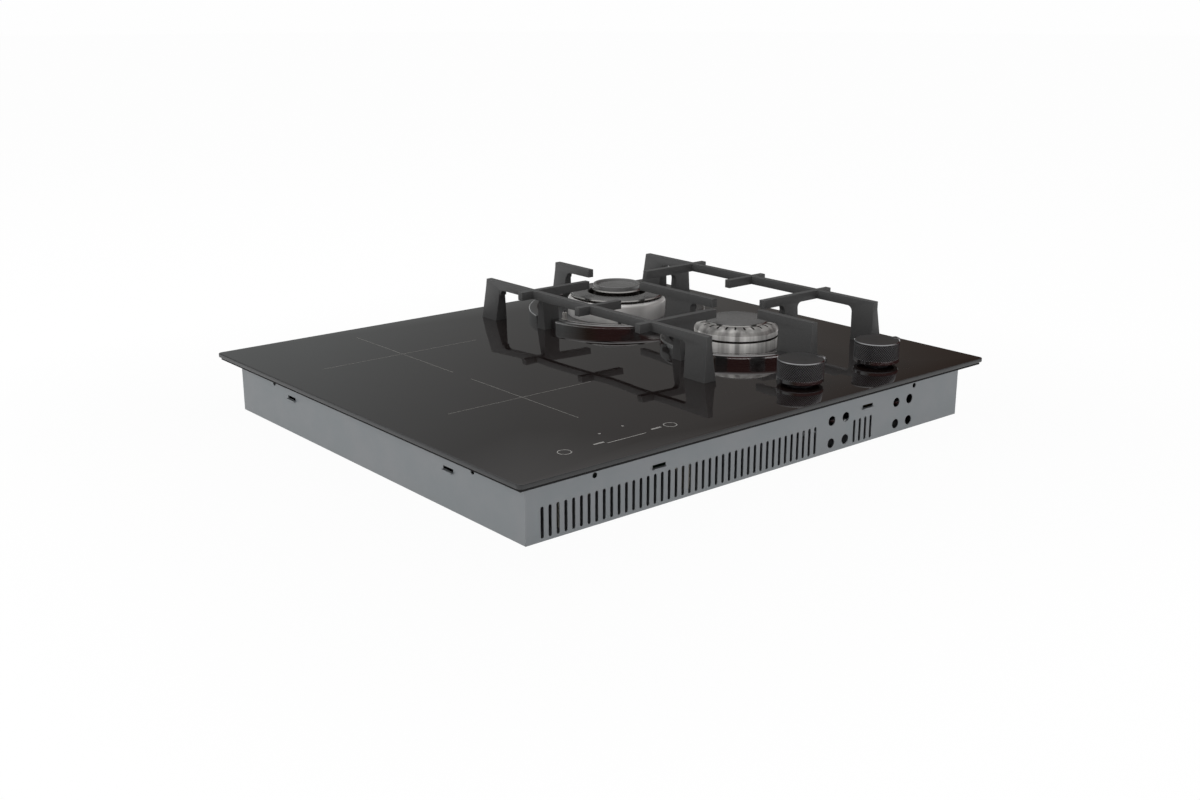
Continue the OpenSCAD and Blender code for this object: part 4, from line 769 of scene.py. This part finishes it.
# Spark electrodes: a steel pin cemented in a white ceramic body with a collar, standing in a
# hole of each deck. Only the top of the body and the bare pin show above the deck.
electrode_inset = 6.5
deck_gap = 2
burners = {"wok": (wok_y, wok_hole, 172), "rapid": (rapid_y, rapid_hole, 150)}
electrode_low = 52
collar_radius = 4
collar_high = 1.5
ceramic_radius = 2.5
ceramic_high = 9
pin_radius = 0.8
pin_high = 12
pin_tip = 0.3
for burner, (y, hole, angle) in burners.items():
    reach = hole - deck_gap - electrode_inset
    place_x = burner_x + reach * math.cos(math.radians(angle))
    place_y = y + reach * math.sin(math.radians(angle))
    deck_z = glass_high + deck_high
    body_outline = softened([
        (pin_radius, electrode_low - deck_z, 0), (ceramic_radius, electrode_low - deck_z, 0),
        (ceramic_radius, 0, 0), (collar_radius, 0, 0.3), (collar_radius, collar_high, 0.4),
        (ceramic_radius, collar_high, 0), (ceramic_radius, ceramic_high, 0.6), (pin_radius, ceramic_high, 0)])
    body = shaped(burner + "_electrode_body", spun(body_outline, (place_x, place_y, deck_z), steps=40))
    finished(body, [ceramic], "hob", ["spark_electrodes"])
    pin_outline = [(0, electrode_low - deck_z), (pin_radius, electrode_low - deck_z),
                   (pin_radius, pin_high - pin_tip), (pin_radius - pin_tip, pin_high), (0, pin_high)]
    pin = shaped(burner + "_electrode_pin", spun(pin_outline, (place_x, place_y, deck_z), steps=24))
    finished(pin, [plated_steel], "hob", ["spark_electrodes"])


# Knobs: moulded and chromed, dark on the flat top and the diamond knurl of the grip, bright on the
# chamfer and the skirt, with a pointer nub on the rim and a painted shade in the knurl's grooves.
# Each is pressed on a tap's spindle.
knob_low = 63.6
knob_tall = 21.6
knob_radius = 22.5
knob_chamfer = 0.8
knurl_low = 4.2
knurl_high = 19.8
knurl_deep = 0.8
knurl_count = 58
knurl_pitch = 2.6
knurl_rows = 60
knurl_net = 0.4
steps_per_diamond = 10
knob_wall = 4
knob_roof = 6
knob_hub = 7
spindle_radius = 3
pointer_wide = 8
pointer_in = 5
pointer_out = 1.6
pointer_tall = 5
pointer_up = 0.8
pointer_angle = -20
pointer_edge = 0.5
wall_slack = 0.01

dark_chrome, chrome_tree, chrome_shader = new_material("dark chrome", "#9c9c9e", 0.3, 1.0)
chrome_grain = clouded(chrome_tree, chrome_shader, 1.5, "#979799", "#a1a1a3")
bumped(chrome_tree, chrome_shader, chrome_grain, 0.006)
bright_chrome, bright_tree, bright_shader = new_material("bright chrome", "#c9c9cb", 0.14, 1.0)
clouded(bright_tree, bright_shader, 1.5, "#c2c2c4", "#d0d0d2")
groove_shade_chrome, groove_shade_tree, groove_shade_shader = new_material("dark chrome with painted shade in the knurl's grooves", "#2a2a2b", 0.5, 0.8)
clouded(groove_shade_tree, groove_shade_shader, 1.5, "#262627", "#2e2e2f")


def groove_height(along):
    """Height between two grooves, from 0 in a groove to 1 halfway to the next."""
    return 1 - abs(2 * (along % 1) - 1)


def knurl_height(place):
    """Height on the diamond knurl, from 0 in its grooves to 1 on the tip of a diamond."""
    across = math.atan2(place.y, place.x) / (2 * math.pi) * knurl_count
    up = (place.z / mm - knurl_low) / knurl_pitch
    return min(groove_height(across + up), groove_height(across - up))


def knob(name, x, body, node):
    """A knob with its knurl pressed into the rows of its wall, its hub, and its pointer nub."""
    row_high = (knurl_high - knurl_low) / knurl_rows
    rows = [(knob_radius, knurl_low + i * row_high) for i in range(knurl_rows + 1)]
    socket = knob_tall - knob_roof
    outline = [(0, socket), (spindle_radius, socket), (spindle_radius, 0), (knob_hub, 0), (knob_hub, socket),
               (knob_radius - knob_wall, socket), (knob_radius - knob_wall, 0),
               (knob_radius - knob_chamfer, 0), (knob_radius, knob_chamfer), *rows,
               (knob_radius, knob_tall - knob_chamfer), (knob_radius - knob_chamfer, knob_tall),
               (0, knob_tall)]
    bm = spun(outline, (0, 0, 0), steps=knurl_count * steps_per_diamond)
    for vert in bm.verts:
        if knurl_low < vert.co.z / mm < knurl_high and vert.co.xy.length > (knob_radius - wall_slack) * mm:
            vert.co.xy *= 1 - knurl_deep * (1 - knurl_height(vert.co)) / knob_radius
    for face in bm.faces:
        middle = face.calc_center_median()
        high = middle.z / mm
        outside = middle.xy.length > (knob_radius - knob_chamfer - face_slack) * mm
        if outside and knurl_low < high < knurl_high:
            # Painted shade: faces low in the knurl's grooves take the darkest chrome.
            face.material_index = 2 if knurl_height(middle) < knurl_net else 0
        elif outside and not knurl_high < high < knob_tall - knob_chamfer:
            face.material_index = 1
    turn = math.radians(pointer_angle)
    reach = knob_radius + (pointer_out - pointer_in) / 2
    nub_z = knob_tall + pointer_up - (pointer_tall + pointer_up) / 2
    nub = block(bm, (reach * math.cos(turn), reach * math.sin(turn), nub_z),
                (pointer_in + pointer_out, pointer_wide, pointer_tall + pointer_up), turn)
    nub_edges = list({edge for vert in nub for edge in vert.link_edges})
    bmesh.ops.bevel(bm, geom=nub_edges, affect="EDGES", offset=pointer_edge * mm, segments=3, profile=0.5,
                    material=-1)
    bmesh.ops.translate(bm, verts=bm.verts, vec=Vector((x, knob_y, knob_low)) * mm)
    piece = shaped(name, bm)
    finished(piece, [dark_chrome, bright_chrome, groove_shade_chrome], body, [node])


knob("wok_knob_grip", knob_xs[0], "wok_knob_body", "knob_left")
knob("rapid_knob_grip", knob_xs[1], "rapid_knob_body", "knob_right")


# Pan supports: five iron castings with matt black enamel. The sand mould leaves soft edges,
# and a painted highlight makes the enamel paler along them. They stand on the glass with flared feet.
cast_edge = 0.9
same_plane = 1
sharp_corner = 25
black_enamel, iron_tree, iron_shader = new_material("matt black enamel on iron", "#464646", 0.5)
iron_grain = clouded(iron_tree, iron_shader, 0.9, "#414141", "#4b4b4b")
bumped(iron_tree, iron_shader, iron_grain, 0.05)
edge_highlight_enamel, edge_highlight_tree, edge_highlight_shader = new_material("enamel edge with painted highlight", "#7a7a7b", 0.42)
edge_highlight_grain = clouded(edge_highlight_tree, edge_highlight_shader, 0.9, "#737374", "#818182")
bumped(edge_highlight_tree, edge_highlight_shader, edge_highlight_grain, 0.05)


def casting(node, body):
    """A copy of a CAD support with rounded edges."""
    bm = bmesh.new()
    bm.from_mesh(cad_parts[node].data)
    bmesh.ops.remove_doubles(bm, verts=bm.verts, dist=0.01 * mm)
    bmesh.ops.dissolve_limit(bm, angle_limit=math.radians(same_plane), verts=bm.verts,
                             edges=bm.edges)
    rims = [edge for edge in bm.edges
            if edge.is_manifold and edge.calc_face_angle() > math.radians(sharp_corner)]
    made = bmesh.ops.bevel(bm, geom=rims, affect="EDGES", offset=cast_edge * mm, segments=3, profile=0.5,
                           material=-1, clamp_overlap=True)
    # Painted highlight: the rounded edges take the paler enamel.
    for face in made["faces"]:
        face.material_index = 1
    piece = shaped(node + "_casting", bm)
    finished(piece, [black_enamel, edge_highlight_enamel], body, [node])


casting("left_support", "left_support_body")
casting("right_support", "right_support_body")
casting("rear_finger", "rear_finger_body")
casting("centre_bar", "centre_bar_body")
casting("front_finger", "front_finger_body")
